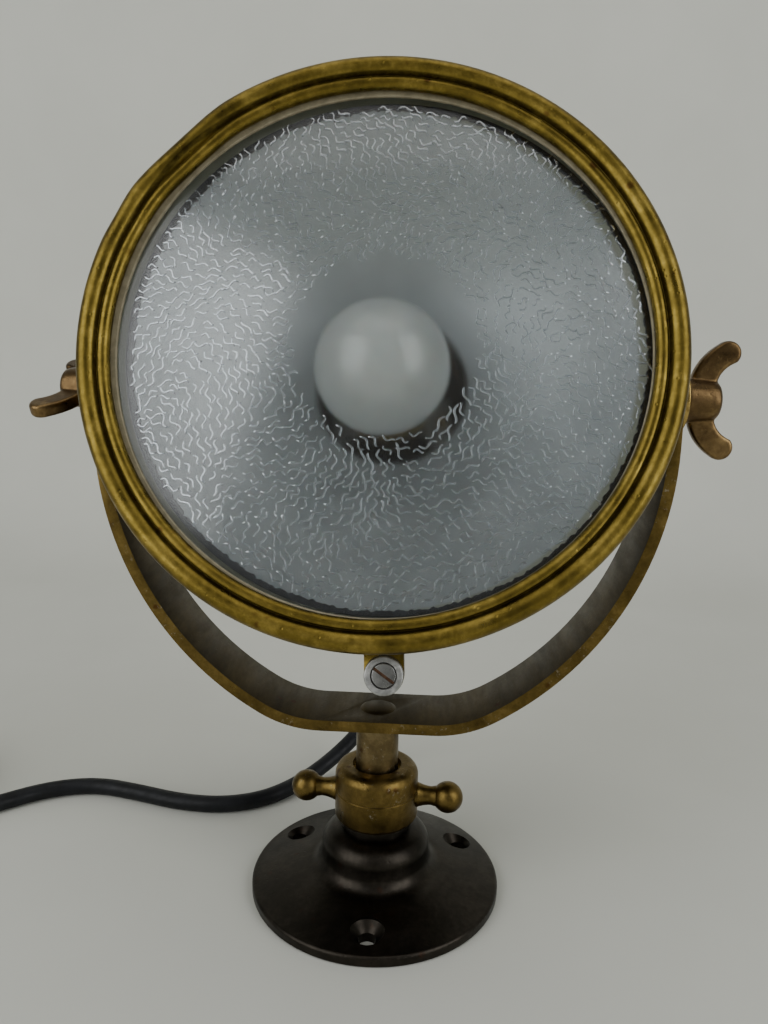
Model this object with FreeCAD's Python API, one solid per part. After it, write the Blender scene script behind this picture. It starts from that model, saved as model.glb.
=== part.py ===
import FreeCAD, Part
import math
import os

# Signal lamp on a round base: a tilting projector head in a flat yoke on a clamped post.
# Millimetres, +Z up, the head faces -Y, and the origin is the centre of the base's underside.
# Head profiles are given as (radius from the optical axis, distance forward along it).

Vector = FreeCAD.Vector
ORIGIN = Vector(0, 0, 0)
X_AXIS = Vector(1, 0, 0)
Y_AXIS = Vector(0, 1, 0)
Z_AXIS = Vector(0, 0, 1)

# Clearances
SLIP = 0.1
RUNNING = 0.06
LOOSE = 0.3
THREAD_PITCH_GAP = 0.2

# Base
BASE_RADIUS = 47.5
BASE_SIDE_HEIGHT = 2.8
BASE_RIM_HEIGHT = 4.1
BASE_EDGE_ROUND = 1.2
BASE_FOOT_CHAMFER = 0.6
DOME_INNER_RADIUS = 26.0
DOME_INNER_HEIGHT = 8.6
WAIST_RADIUS = 20.6
WAIST_HEIGHT = 13.0
BULGE_HEIGHT = 16.5
RING_RADIUS = 14.6
RING_HEIGHT = 24.0
BOLT_CIRCLE_RADIUS = 38.0
BOLT_HOLE_RADIUS = 3.2
COUNTERSINK_RADIUS = 6.25
COUNTERSINK_TOP = 6.4
BOLT_ANGLES = (-90.0, 30.0, 150.0)
RECESS_RADIUS = 17.0
RECESS_HEIGHT = 10.0

# Clamp on the neck
NECK_RADIUS = 12.8
NECK_TOP = 44.0
MOUTH_DEPTH = 6.0
MOUTH_RADIUS = 10.9
COLLET_FLANGE_RADIUS = 11.6
COLLET_FLANGE = 1.3
COLLET_SLIT = 1.2
CLAMP_RING_RADIUS = 11.8
CLAMP_RING_THICKNESS = 1.2
NUT_RADIUS = 15.8
NUT_BOTTOM = 27.7
NUT_FOOT_RADIUS = 14.2
NUT_FOOT_HEIGHT = 1.8
NUT_TOP_WALL = 2.1
NUT_SHOULDER_RADIUS = 12.0
NUT_SHOULDER_HEIGHT = 3.8
NUT_MOUTH_RADIUS = 9.3
NUT_LINE_HEIGHT = 39.2
NUT_LINE_DEPTH = 0.3
ARM_HEIGHT = 37.4
ARM_TURN = -4.0
ARM_ROOT_RADIUS = 4.6
ARM_WAIST_RADIUS = 3.4
ARM_WAIST_AT = 21.0
ARM_BALL_RADIUS = 5.8
ARM_BALL_AT = 27.3
ARM_SPIGOT_RADIUS = 2.5

# Post and yoke
POST_RADIUS = 8.0
POST_END_GAP = 0.3
TENON_RADIUS = 6.0
TENON_HEAD = 0.7
TENON_HEAD_RADIUS = 6.6
STOP_WASHER_RADIUS = 13.0
STOP_WASHER_THICKNESS = 2.5
STOP_SCREW_RADIUS = 3.0
STOP_SCREW_HEAD_RADIUS = 5.0
STOP_SCREW_HEAD = 3.6
STOP_SCREW_LENGTH = 16.0
STRAP_THICKNESS = 4.0
STRAP_WIDTH = 27.0
STRAP_EDGE = 0.6
STRAP_BOTTOM = 67.5
STRAP_FLAT_HALF = 20.4
STRAP_CORNER_RADIUS = 44.0
STRAP_FLANK_RADIUS = 115.0
STRAP_HALF_SPAN = 99.5
PIVOT_HEIGHT = 188.5

# Pivots
STUD_RADIUS = 4.0
STUD_FLANGE_RADIUS = 7.0
STUD_FLANGE = 3.0
STUD_END_RECESS = 1.8
BOSS_RADIUS = 13.0
DISC_RADIUS = 12.0
DISC_THICKNESS = 2.2
WASHER_RADIUS = 11.0
WASHER_THICKNESS = 2.4
HUB_RADIUS = 7.9
HUB_END_RADIUS = 6.6
HUB_LENGTH = 12.1
HUB_END_ROUND = 2.0
WING_THICKNESS = 4.7
WING_LOBE_RADIUS = 4.3
WING_LOBE_OUT = 13.8
WING_LOBE_UP = 15.9
WING_LOBE_HALF_ANGLE = 86.0
WING_BOW = 1.5
LEFT_WING_ANGLE = 25.0

# Head
REST_TILT = 16.5
HEAD_FORWARD = 1.3
HEAD_RAISE = 4.2
RIM_CLOCKING = -2.85
WALL = 1.6
HOUSING_RADIUS = 84.6
HOUSING_FRONT = 24.0
HOUSING_STRAIGHT_END = -14.0
HOUSING_FLAT_RADIUS = 28.0
HOUSING_BACK = -68.0
BODY_RING_RADIUS = 88.0
BODY_RING_FOOT_RADIUS = 86.4
BODY_RING_REAR = 18.0
BODY_RING_STEP = 22.0
BODY_RING_FRONT = 30.0
BODY_RING_BORE = 82.6

# Rim, lens and hinge
SKIRT_INNER = 88.6
SKIRT_OUTER = 90.2
SKIRT_REAR = 27.4
RIM_STEP = 31.0
RIM_BORE = 87.6
LIP_REAR = 38.0
OUTER_BEAD_RADIUS = 3.2
OUTER_BEAD_AT = (88.7, 40.4)
INNER_BEAD_RADIUS = 2.1
INNER_BEAD_AT = (83.9, 39.8)
GROOVE_RADIUS = 0.8
GASKET_INNER = 81.2
GASKET_OUTER = 86.6
GASKET_THICKNESS = 1.0
GASKET_SHIFT = (0.6, -0.4)
GLASS_RADIUS = 85.0
GLASS_EDGE = 4.0
GLASS_DOME_RADIUS = 80.0
GLASS_DOME_RISE = 5.3
GLASS_DOME_WALL = 3.4
GLASS_SHIFT = (2.0, -0.4)
SEAL_INNER = 79.4
SEAL_OUTER = 81.0
LENS_RING_INNER = 83.3
LENS_RING_THICKNESS = 1.0
LENS_RING_SLIT = 2.0
HINGE_AT = (94.0, 25.5)
HINGE_PIN_RADIUS = 1.5
HINGE_PIN_HEAD = 2.6
KNUCKLE_RADIUS = 3.2
KNUCKLE_HALF = 7.0
EAR_RADIUS = 3.4
EAR_WIDTH = 4.0
LEAF_TOP = 92.2
LEAF_FRONT = 36.0
LUG_AT = 98.5
LUG_RADIUS = 6.0
LUG_REAR = 26.8
LUG_FRONT = 29.2
BODY_LUG_THICKNESS = 5.5
BODY_LUG_GAP = 0.4
CUP_RADIUS = 5.9
CUP_THICKNESS = 3.2
CUP_RECESS_RADIUS = 4.0
CUP_RECESS = 2.2
RIM_SCREW_RADIUS = 2.0
RIM_SCREW_HEAD_RADIUS = 3.7
RIM_SCREW_HEAD = 1.7
RIM_SCREW_TIP = 22.0
SLOT_WIDTH = 0.9
SLOT_DEPTH = 0.8
RIM_SLOT_ANGLE = 37.0

# Reflector and bulb
FOCUS = 33.5
DISH_VERTEX = -17.2
DISH_WALL = 1.0
DISH_RADIUS = 79.9
DISH_HOLE = 27.9
DISH_FLANGE_RADIUS = 85.4
DISH_FLANGE = 0.8
DISH_SHIFT = 2.0
BULB_RADIUS = 22.5
BULB_CENTRE = 14.8
BULB_NECK_RADIUS = 10.6
BULB_WALL = 0.9
BULB_NECK_END = -24.0
BULB_LEAVE_ANGLE = 45.0
CAP_RADIUS = 11.0
CAP_FRONT = -14.2
CAP_END = -38.0
CAP_FLOOR = 2.5
CAP_PIN_RADIUS = 1.1
CAP_PIN_REACH = 12.5
CAP_PIN_AT = -31.0
STEM_RADIUS = 5.0
STEM_FRONT = 2.0
FILAMENT_RADIUS = 9.0
FILAMENT_WIRE = 0.35

# Lampholder inside
HOLDER_BORE = 11.3
HOLDER_TUBE = 12.7
HOLDER_TUBE_FRONT = -16.0
HOLDER_BODY = 15.5
HOLDER_BODY_FRONT = -30.0
HOLDER_END = -46.0
HOLDER_FLOOR = 2.0
HOLDER_RING_RADIUS = 17.5
HOLDER_RING_FRONT = -18.0
HOLDER_RING_LENGTH = 6.0
BAYONET_SLOT = 2.6
CORE_THICKNESS = 2.7
PLUNGER_RADIUS = 1.6
PLUNGER_AT = 4.0
BRACKET_HALF_WIDTH = 17.0
BRACKET_HALF_HEIGHT = 10.0
BRACKET_WALL = 1.6
BRACKET_FOOT_REACH = 25.0
BRACKET_SCREW_AT = 21.3
BRACKET_SCREW_RADIUS = 2.0
BRACKET_SCREW_HEAD_RADIUS = 3.2
BRACKET_SCREW_HEAD = 2.0
BLOCK_WIDTH = 22.0
BLOCK_HEIGHT = 9.0
BLOCK_DEPTH = 8.0
BLOCK_BOTTOM = 13.5
TERMINAL_RADIUS = 2.0
TERMINAL_AT = 7.0
TERMINAL_HEAD = 1.0
WIRE_RADIUS = 1.0

# Signal key on the back
KEY_FLANGE_RADIUS = 26.0
KEY_FLANGE = 2.6
KEY_RADIUS = 15.0
KEY_BORE = 12.5
KEY_LENGTH = 18.0
KEY_END_WALL = 2.5
KEY_WALL_HOLE = 9.5
KEY_INSULATOR = 3.0
KEY_BUTTON_RADIUS = 7.4
KEY_BUTTON_LENGTH = 6.4
KEY_BUTTON_ROUND = 1.5
KEY_COLLAR_RADIUS = 10.4
KEY_COLLAR = 2.0
KEY_TRAVEL = 3.0
KEY_STEM_RADIUS = 2.4
KEY_BRIDGE_HALF = 7.8
KEY_BRIDGE_WIDTH = 5.0
KEY_BRIDGE = 1.0
KEY_CONTACT_RADIUS = 1.6
KEY_CONTACT_AT = 6.0
KEY_CONTACT_GAP = 3.4
KEY_CONTACT_TAIL = 2.4
SPRING_RADIUS = 9.2
SPRING_WIRE = 0.5
SPRING_TURNS = 4

# Cord gland, in line with the tilt axis
GLAND_ANGLE = 32.8
GLAND_RADIUS = 9.0
GLAND_BASE = 70.0
GLAND_FACE = 84.0
GLAND_SPIGOT = 5.4
GLAND_NUT_RADIUS = 7.6
GLAND_NUT_LENGTH = 9.0
RELIEF_SEAT = 2.0
RELIEF_RADIUS = 5.4
RELIEF_END_RADIUS = 4.2
RELIEF_END = 110.2

# Cord
CORD_RADIUS = 3.6
CORD_START_GAP = 0.1
CORD_SPLIT_GAP = 0.05
ARC_SHARE = 0.45
UPPER_ROUTE = (
    (0.0, 84.97, 89.81),
    (-1.4, 91.3, 77.1),
)
SPLIT_RUN_END = (-1.463, 95.4, 48.0)
LOWER_ROUTE = (
    (-7.0, 93.5, 28.0),
    (-19.2, 85.7, 13.1),
    (-36.0, 68.2, 4.2),
    (-51.1, 49.0, 3.6),
    (-70.1, 40.5, 3.6),
    (-91.5, 41.4, 3.6),
    (-112.0, 47.5, 3.6),
    (-134.0, 52.3, 3.6),
    (-154.0, 46.5, 3.6),
    (-170.5, 33.0, 3.6),
    (-187.5, 17.3, 3.6),
    (-203.6, 3.0, 3.6),
)
COIL_RADIUS = 47.0
COIL_STEP = 8.0
COIL_LAYER = 7.7
COIL_TURNS_IN = 2.75
COIL_CLIMB = 0.5
COIL_END_STRAIGHT = 7.2
TAIL_RUNS = (11.0, 15.0, 11.0)
TAIL_TURN = 9.0

# Plug
PLUG_AXIS_HEIGHT = 10.2
PLUG_GRIP_LENGTH = 17.0
PLUG_GRIP_START = 4.8
PLUG_GRIP_END = 8.4
PLUG_LENGTH = 38.0
PLUG_WIDTH = 34.0
PLUG_ROUND = 4.0
PLUG_PIN_RADIUS = 2.4
PLUG_PIN_LENGTH = 19.0
PLUG_PIN_SPACING = 19.0
PLUG_PIN_ROOT = 8.0
PLUG_SCREW_RADIUS = 3.0
PLUG_SCREW_DEPTH = 2.0


# Outlines and solids of revolution

def bow(start, end, sag):
    """Point on an arc between two plane points that bulges sag to the left of the way."""
    run = (end[0] - start[0], end[1] - start[1])
    length = math.hypot(run[0], run[1])
    return (
        (start[0] + end[0]) / 2 - run[1] / length * sag,
        (start[1] + end[1]) / 2 + run[0] / length * sag,
    )


def outline_edges(place, start, *steps):
    """Edges through plane points; a step with a third value is an arc with that bulge."""
    edges = []
    here = start
    for step in steps:
        end = (step[0], step[1])
        if len(step) == 3:
            middle = bow(here, end, step[2])
            edges.append(Part.Arc(place(*here), place(*middle), place(*end)).toShape())
        else:
            edges.append(Part.LineSegment(place(*here), place(*end)).toShape())
        here = end
    return edges


def outline_face(place, start, *steps):
    edges = outline_edges(place, start, *steps)
    last = (steps[-1][0], steps[-1][1])
    edges.append(Part.LineSegment(place(*last), place(*start)).toShape())
    return Part.Face(Part.Wire(edges))


def in_head(radius, forward):
    return Vector(radius, -forward, 0)


def in_height(radius, height):
    return Vector(radius, 0, height)


def turned_on_axis(start, *steps):
    """Solid of revolution about the upright axis."""
    return outline_face(in_height, start, *steps).revolve(ORIGIN, Z_AXIS, 360)


def turned_in_head(start, *steps):
    """Solid of revolution about the optical axis."""
    return outline_face(in_head, start, *steps).revolve(ORIGIN, Y_AXIS, 360)


def upright(radius, bottom, top, x=0.0, y=0.0):
    return Part.makeCylinder(radius, top - bottom, Vector(x, y, bottom), Z_AXIS)


def along_optics(radius, rear, front, x=0.0, z=0.0):
    return Part.makeCylinder(radius, front - rear, Vector(x, -rear, z), -Y_AXIS)


def along_pivot(radius, start, end, y=0.0, z=0.0):
    return Part.makeCylinder(radius, end - start, Vector(start, y, z), X_AXIS)


def box_in_head(half_width, bottom, top, rear, front, x=0.0):
    corner = Vector(x - half_width, -front, bottom)
    return Part.makeBox(2 * half_width, front - rear, top - bottom, corner)


def ring_in_head(inner, outer, rear, front, shift=(0.0, 0.0)):
    body = along_optics(outer, rear, front, *shift)
    return body.cut(along_optics(inner, rear - 1, front + 1, *shift))


def spline_through(points, start_way, end_way):
    curve = Part.BSplineCurve()
    curve.interpolate(Points=points, InitialTangent=start_way, FinalTangent=end_way)
    return curve.toShape()


def mirrored_in_x(shape):
    return shape.mirror(ORIGIN, X_AXIS)


def both_sides(shape):
    return Part.makeCompound([shape, mirrored_in_x(shape)])


# Places of the moving groups

def place_head(shape):
    """From the head's own frame to the lamp's, tilted up at rest."""
    placed = shape.copy()
    placed.translate(Vector(0, -HEAD_FORWARD, HEAD_RAISE))
    placed.rotate(ORIGIN, X_AXIS, -REST_TILT)
    placed.translate(Vector(0, 0, PIVOT_HEIGHT))
    return placed


def place_rim(shape):
    """The rim is fitted a little turned about the optical axis."""
    placed = shape.copy()
    placed.rotate(ORIGIN, Y_AXIS, RIM_CLOCKING)
    return place_head(placed)


# Tubes along a route

def unit(vector):
    return vector * (1.0 / vector.Length)


def rounded_route(points):
    """Straight runs joined by tangent arcs; gives the edges and the arcs' radii."""
    edges = []
    radii = []
    here = points[0]
    for before, corner, after in zip(points, points[1:], points[2:]):
        way_in = unit(corner - before)
        way_out = unit(after - corner)
        half_turn = way_in.getAngle(way_out) / 2
        reach = ARC_SHARE * min((corner - before).Length, (after - corner).Length)
        radius = reach / math.tan(half_turn)
        arc_start = corner - way_in * reach
        arc_end = corner + way_out * reach
        inward = unit(way_out - way_in)
        middle = corner + inward * (radius / math.cos(half_turn) - radius)
        edges.append(Part.LineSegment(here, arc_start).toShape())
        edges.append(Part.Arc(arc_start, middle, arc_end).toShape())
        radii.append(radius)
        here = arc_end
    edges.append(Part.LineSegment(here, points[-1]).toShape())
    return edges, radii


def tube(edges, radius):
    """Round solid along connected edges."""
    path = Part.Wire(edges)
    start = edges[0].Vertexes[0].Point
    way = edges[0].tangentAt(edges[0].FirstParameter)
    section = Part.Wire(Part.makeCircle(radius, start, way))
    return path.makePipeShell([section], True, False)


def route_tube(name, points, radius):
    """Tube on a rounded route, with its radii and its volume check printed."""
    edges, radii = rounded_route(points)
    solid = tube(edges, radius)
    length = sum(edge.Length for edge in edges)
    share = solid.Volume / (math.pi * radius ** 2 * length)
    tightest = min(radii) if radii else math.inf
    print(f"{name}: length {length:.1f}, least radius {tightest:.1f}, volume share {share:.4f}")
    return solid


def arc_from_corner(start, corner, end):
    """Arc that touches both sides of a corner with equal sides."""
    chord_middle = (start + end) * 0.5
    half_chord = (end - start).Length / 2
    height = (corner - chord_middle).Length
    half_turn = math.atan2(height, half_chord)
    middle = chord_middle + unit(corner - chord_middle) * (half_chord * math.tan(half_turn / 2))
    return Part.Arc(start, middle, end).toShape()


def biarc(start, start_way, end, end_way):
    """Two tangent arcs between two points with given ways."""
    chord = end - start
    along = chord.dot(start_way + end_way)
    spread = 2 * (1 - start_way.dot(end_way))
    reach = (math.sqrt(along ** 2 + spread * chord.dot(chord)) - along) / spread
    first_corner = start + start_way * reach
    second_corner = end - end_way * reach
    joint = (first_corner + second_corner) * 0.5
    return [arc_from_corner(start, first_corner, joint), arc_from_corner(joint, second_corner, end)]


def wound_edges(state, stops):
    """Biarcs through the states (point and way) of a winding at the given turns."""
    edges = []
    for first, second in zip(stops, stops[1:]):
        edges += biarc(*state(first), *state(second))
    return edges


def least_gap(points, apart, width):
    """Least free gap between points of a winding that lie more than apart steps from each other."""
    nearest = math.inf
    for index, point in enumerate(points):
        for other in points[index + apart:]:
            nearest = min(nearest, (other - point).Length)
    return nearest - width


# Base and clamp

def base_flange():
    """Turned base: low dome, flared neck and the threaded spigot that the clamp nut runs on."""
    body = turned_on_axis(
        (0, 0),
        (BASE_RADIUS - BASE_FOOT_CHAMFER, 0),
        (BASE_RADIUS, BASE_FOOT_CHAMFER),
        (BASE_RADIUS, BASE_SIDE_HEIGHT),
        (BASE_RADIUS - BASE_EDGE_ROUND, BASE_RIM_HEIGHT, -0.35),
        (DOME_INNER_RADIUS, DOME_INNER_HEIGHT, -0.25),
        (WAIST_RADIUS, WAIST_HEIGHT, 1.3),
        (WAIST_RADIUS, BULGE_HEIGHT),
        (RING_RADIUS + 1.0, RING_HEIGHT - BASE_FOOT_CHAMFER, -1.6),
        (RING_RADIUS, RING_HEIGHT),
        (NECK_RADIUS, RING_HEIGHT),
        (NECK_RADIUS, NECK_TOP),
        (0, NECK_TOP),
    )
    body = body.cut(upright(POST_RADIUS + SLIP, 0, NECK_TOP + 1))
    body = body.cut(upright(RECESS_RADIUS, -1, RECESS_HEIGHT))
    mouth_bottom = NECK_TOP - MOUTH_DEPTH
    mouth = Part.makeCone(POST_RADIUS + SLIP, MOUTH_RADIUS, MOUTH_DEPTH, Vector(0, 0, mouth_bottom), Z_AXIS)
    body = body.cut(mouth)
    cone_height = COUNTERSINK_RADIUS - BOLT_HOLE_RADIUS
    for angle in BOLT_ANGLES:
        x = BOLT_CIRCLE_RADIUS * math.cos(math.radians(angle))
        y = BOLT_CIRCLE_RADIUS * math.sin(math.radians(angle))
        body = body.cut(upright(BOLT_HOLE_RADIUS, -1, COUNTERSINK_TOP, x, y))
        seat = Vector(x, y, COUNTERSINK_TOP - cone_height)
        body = body.cut(Part.makeCone(BOLT_HOLE_RADIUS, COUNTERSINK_RADIUS, cone_height, seat, Z_AXIS))
        body = body.cut(upright(COUNTERSINK_RADIUS, COUNTERSINK_TOP, COUNTERSINK_TOP + 4, x, y))
    return body


def collet_top():
    return NECK_TOP + SLIP + COLLET_FLANGE


def clamp_ring_top():
    return collet_top() + SLIP + CLAMP_RING_THICKNESS


def post_collet():
    """Split cone between the neck's mouth and the post."""
    bore = POST_RADIUS + RUNNING
    cone_bottom = NECK_TOP - MOUTH_DEPTH * 0.8
    cone_foot = bore + (MOUTH_RADIUS - POST_RADIUS) * 0.2 - SLIP
    body = turned_on_axis(
        (bore, cone_bottom),
        (cone_foot, cone_bottom),
        (MOUTH_RADIUS - 2 * SLIP, NECK_TOP),
        (MOUTH_RADIUS - 2 * SLIP, NECK_TOP + SLIP),
        (COLLET_FLANGE_RADIUS, NECK_TOP + SLIP),
        (COLLET_FLANGE_RADIUS, collet_top()),
        (bore, collet_top()),
    )
    slit_height = collet_top() - cone_bottom + 2
    corner = Vector(0, -COLLET_SLIT / 2, cone_bottom - 1)
    return body.cut(Part.makeBox(COLLET_FLANGE_RADIUS + 1, COLLET_SLIT, slit_height, corner))


def clamp_ring():
    """Flat ring that the nut's shoulder presses on the collet."""
    bottom = collet_top() + SLIP
    body = upright(CLAMP_RING_RADIUS, bottom, clamp_ring_top())
    return body.cut(upright(POST_RADIUS + LOOSE, bottom - 1, clamp_ring_top() + 1))


def nut_top():
    return clamp_ring_top() + THREAD_PITCH_GAP + NUT_TOP_WALL


def clamp_nut():
    """Collar with a tapered foot, a faint turned line and a rounded shoulder."""
    top = nut_top()
    body = turned_on_axis(
        (0, NUT_BOTTOM),
        (NUT_FOOT_RADIUS, NUT_BOTTOM),
        (NUT_RADIUS, NUT_BOTTOM + NUT_FOOT_HEIGHT, -0.2),
        (NUT_RADIUS, NUT_LINE_HEIGHT - NUT_LINE_DEPTH),
        (NUT_RADIUS - NUT_LINE_DEPTH, NUT_LINE_HEIGHT),
        (NUT_RADIUS, NUT_LINE_HEIGHT + NUT_LINE_DEPTH),
        (NUT_RADIUS, top - NUT_SHOULDER_HEIGHT),
        (NUT_SHOULDER_RADIUS, top, -1.1),
        (0, top),
    )
    body = body.cut(upright(NECK_RADIUS + THREAD_PITCH_GAP, NUT_BOTTOM - 1, top - NUT_TOP_WALL))
    body = body.cut(upright(NUT_MOUTH_RADIUS, NUT_BOTTOM, top + 1))
    for side in (0, 180):
        hole = along_pivot(ARM_SPIGOT_RADIUS + RUNNING, NECK_RADIUS, NUT_RADIUS + 1, 0, ARM_HEIGHT)
        hole.rotate(ORIGIN, Z_AXIS, side + ARM_TURN)
        body = body.cut(hole)
    return body


def clamp_arm():
    """Waisted arm with a ball end, screwed into the collar."""
    def along(distance, radius):
        return Vector(distance, 0, radius)
    waist_end = ARM_BALL_AT - math.sqrt(ARM_BALL_RADIUS ** 2 - (ARM_WAIST_RADIUS + 0.4) ** 2)
    tip = ARM_BALL_AT + ARM_BALL_RADIUS
    root = NECK_RADIUS
    face = outline_face(
        along,
        (root, 0),
        (root, ARM_ROOT_RADIUS),
        (NUT_RADIUS, ARM_ROOT_RADIUS),
        (ARM_WAIST_AT, ARM_WAIST_RADIUS, -0.25),
        (waist_end, ARM_WAIST_RADIUS + 0.4),
        (tip, 0, ball_bulge(waist_end, tip)),
    )
    arm = face.revolve(ORIGIN, X_AXIS, 360)
    collar = upright(NUT_RADIUS, -2 * ARM_ROOT_RADIUS, 2 * ARM_ROOT_RADIUS)
    arm = arm.cut(collar)
    spigot_start = NECK_RADIUS + 2 * THREAD_PITCH_GAP
    return arm.fuse(along_pivot(ARM_SPIGOT_RADIUS, spigot_start, NUT_RADIUS + 1)).removeSplitter()


def ball_bulge(waist_end, tip):
    """Bulge of the ball's arc from the waist to the tip."""
    waist_radius = ARM_WAIST_RADIUS + 0.4
    half_chord = math.hypot(tip - waist_end, waist_radius) / 2
    return ARM_BALL_RADIUS - math.sqrt(ARM_BALL_RADIUS ** 2 - half_chord ** 2)


def clamp_arms():
    arms = []
    for side in (0, 180):
        arm = clamp_arm()
        arm.rotate(ORIGIN, Z_AXIS, side + ARM_TURN)
        arm.translate(Vector(0, 0, ARM_HEIGHT))
        arms.append(arm)
    return Part.makeCompound(arms)


# Post and yoke

def post_bottom():
    return RECESS_HEIGHT - POST_END_GAP


def post():
    """Post with a riveted tenon through the strap."""
    body = upright(POST_RADIUS, post_bottom(), STRAP_BOTTOM)
    strap_top = STRAP_BOTTOM + STRAP_THICKNESS
    body = body.fuse(upright(TENON_RADIUS, STRAP_BOTTOM, strap_top))
    head = Part.makeCone(
        TENON_HEAD_RADIUS,
        TENON_RADIUS - TENON_HEAD,
        TENON_HEAD,
        Vector(0, 0, strap_top),
    )
    body = body.fuse(head)
    body = body.cut(upright(STOP_SCREW_RADIUS, post_bottom() - 1, post_bottom() + STOP_SCREW_LENGTH))
    return body.removeSplitter()


def post_stop_washer():
    top = post_bottom()
    body = upright(STOP_WASHER_RADIUS, top - STOP_WASHER_THICKNESS, top)
    return body.cut(upright(STOP_SCREW_RADIUS + SLIP, 0, top + 1))


def post_stop_screw():
    head_top = post_bottom() - STOP_WASHER_THICKNESS
    body = upright(STOP_SCREW_HEAD_RADIUS, head_top - STOP_SCREW_HEAD, head_top)
    body = body.fuse(upright(STOP_SCREW_RADIUS, head_top, post_bottom() + STOP_SCREW_LENGTH - 1))
    slot = Part.makeBox(
        2 * STOP_SCREW_HEAD_RADIUS + 2, SLOT_WIDTH, SLOT_DEPTH + 1,
        Vector(-STOP_SCREW_HEAD_RADIUS - 1, -SLOT_WIDTH / 2, head_top - STOP_SCREW_HEAD - 1),
    )
    return body.cut(slot).removeSplitter()


def strap_half(inset):
    """Points of the strap's right half at a depth inside its outer face."""
    corner_radius = STRAP_CORNER_RADIUS - inset
    flank_radius = STRAP_FLANK_RADIUS - inset
    corner = Vector(STRAP_FLAT_HALF, 0, STRAP_BOTTOM + STRAP_CORNER_RADIUS)
    flank_x = STRAP_HALF_SPAN - STRAP_FLANK_RADIUS
    rise = math.sqrt((STRAP_FLANK_RADIUS - STRAP_CORNER_RADIUS) ** 2 - (corner.x - flank_x) ** 2)
    flank = Vector(flank_x, 0, corner.z + rise)
    joint = math.atan2(corner.z - flank.z, corner.x - flank.x)

    def on_arc(centre, radius, angle):
        return centre + Vector(radius * math.cos(angle), 0, radius * math.sin(angle))

    return [
        on_arc(corner, corner_radius, -math.pi / 2),
        on_arc(corner, corner_radius, (joint - math.pi / 2) / 2),
        on_arc(corner, corner_radius, joint),
        on_arc(flank, flank_radius, joint / 2),
        on_arc(flank, flank_radius, 0),
        Vector(STRAP_HALF_SPAN - inset, 0, PIVOT_HEIGHT),
    ]


def half_edges(points):
    """Corner arc, flank arc and the upright end of one half."""
    return [
        Part.Arc(points[0], points[1], points[2]).toShape(),
        Part.Arc(points[2], points[3], points[4]).toShape(),
        Part.LineSegment(points[4], points[5]).toShape(),
    ]


def flipped(point):
    return Vector(-point.x, point.y, point.z)


def yoke_strap():
    """Flat strap bent to a U, with round ends over the pivots."""
    outer = strap_half(0)
    inner = strap_half(STRAP_THICKNESS)
    left_outer = [flipped(point) for point in outer]
    left_inner = [flipped(point) for point in inner]
    edges = half_edges(outer) + half_edges(inner) + half_edges(left_outer) + half_edges(left_inner)
    edges.append(Part.LineSegment(outer[5], inner[5]).toShape())
    edges.append(Part.LineSegment(left_outer[5], left_inner[5]).toShape())
    edges.append(Part.LineSegment(left_outer[0], outer[0]).toShape())
    edges.append(Part.LineSegment(left_inner[0], inner[0]).toShape())
    wire = Part.Wire(Part.__sortEdges__(edges))
    strap = Part.Face(wire).extrude(Vector(0, STRAP_WIDTH, 0))
    strap.translate(Vector(0, -STRAP_WIDTH / 2, 0))
    inner_face = STRAP_HALF_SPAN - STRAP_THICKNESS
    for side in (1, -1):
        end = along_pivot(STRAP_WIDTH / 2, inner_face, STRAP_HALF_SPAN, 0, PIVOT_HEIGHT)
        hole = along_pivot(STUD_RADIUS + SLIP, inner_face - 1, STRAP_HALF_SPAN + 1, 0, PIVOT_HEIGHT)
        if side < 0:
            end = mirrored_in_x(end)
            hole = mirrored_in_x(hole)
        strap = strap.fuse(end)
        strap = strap.cut(hole)
    strap = strap.cut(upright(TENON_RADIUS + RUNNING, STRAP_BOTTOM - 1, STRAP_BOTTOM + STRAP_THICKNESS + 1))
    strap = strap.removeSplitter()
    long_edges = [edge for edge in strap.Edges if lies_on_strap_side(edge)]
    return strap.makeFillet(STRAP_EDGE, long_edges)


def lies_on_strap_side(edge):
    """True for an edge between the strap's side and one of its broad faces."""
    box = edge.BoundBox
    flat = box.YLength < 0.01
    return flat and abs(abs(box.YMin) - STRAP_WIDTH / 2) < 0.01 and edge.Length > STRAP_THICKNESS + 1


# Pivots

def pivot_places():
    """Places along the pivot axis, from the strap's faces outwards and inwards."""
    inner_face = STRAP_HALF_SPAN - STRAP_THICKNESS
    disc_outer = inner_face - LOOSE
    disc_inner = disc_outer - DISC_THICKNESS
    washer_inner = STRAP_HALF_SPAN + LOOSE
    washer_outer = washer_inner + WASHER_THICKNESS
    hub_inner = washer_outer + LOOSE
    return disc_inner, disc_outer, washer_inner, washer_outer, hub_inner


def stud_in_head(radius, start, end):
    """Cylinder along the tilt axis in the head's frame."""
    return along_pivot(radius, start, end, HEAD_FORWARD, -HEAD_RAISE)


def pivot_bosses():
    """Bosses soldered to the housing's sides."""
    disc_inner = pivot_places()[0]
    boss = stud_in_head(BOSS_RADIUS, HOUSING_RADIUS - 2 * WALL, disc_inner)
    boss = boss.cut(housing_solid(0, HOUSING_FRONT))
    boss = boss.cut(stud_in_head(STUD_RADIUS + SLIP, HOUSING_RADIUS - 3 * WALL, disc_inner + 1))
    return both_sides(boss)


def pivot_studs():
    """Flanged studs from inside the housing out to the wing nuts."""
    inner_radius = HOUSING_RADIUS - WALL
    reach = HEAD_RAISE + STUD_FLANGE_RADIUS
    seat = math.sqrt(inner_radius ** 2 - reach ** 2) - SLIP / 2
    end = pivot_places()[4] + HUB_LENGTH - STUD_END_RECESS
    stud = stud_in_head(STUD_FLANGE_RADIUS, seat - STUD_FLANGE, seat)
    stud = stud.fuse(stud_in_head(STUD_RADIUS, seat, end))
    return both_sides(stud.removeSplitter())


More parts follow.
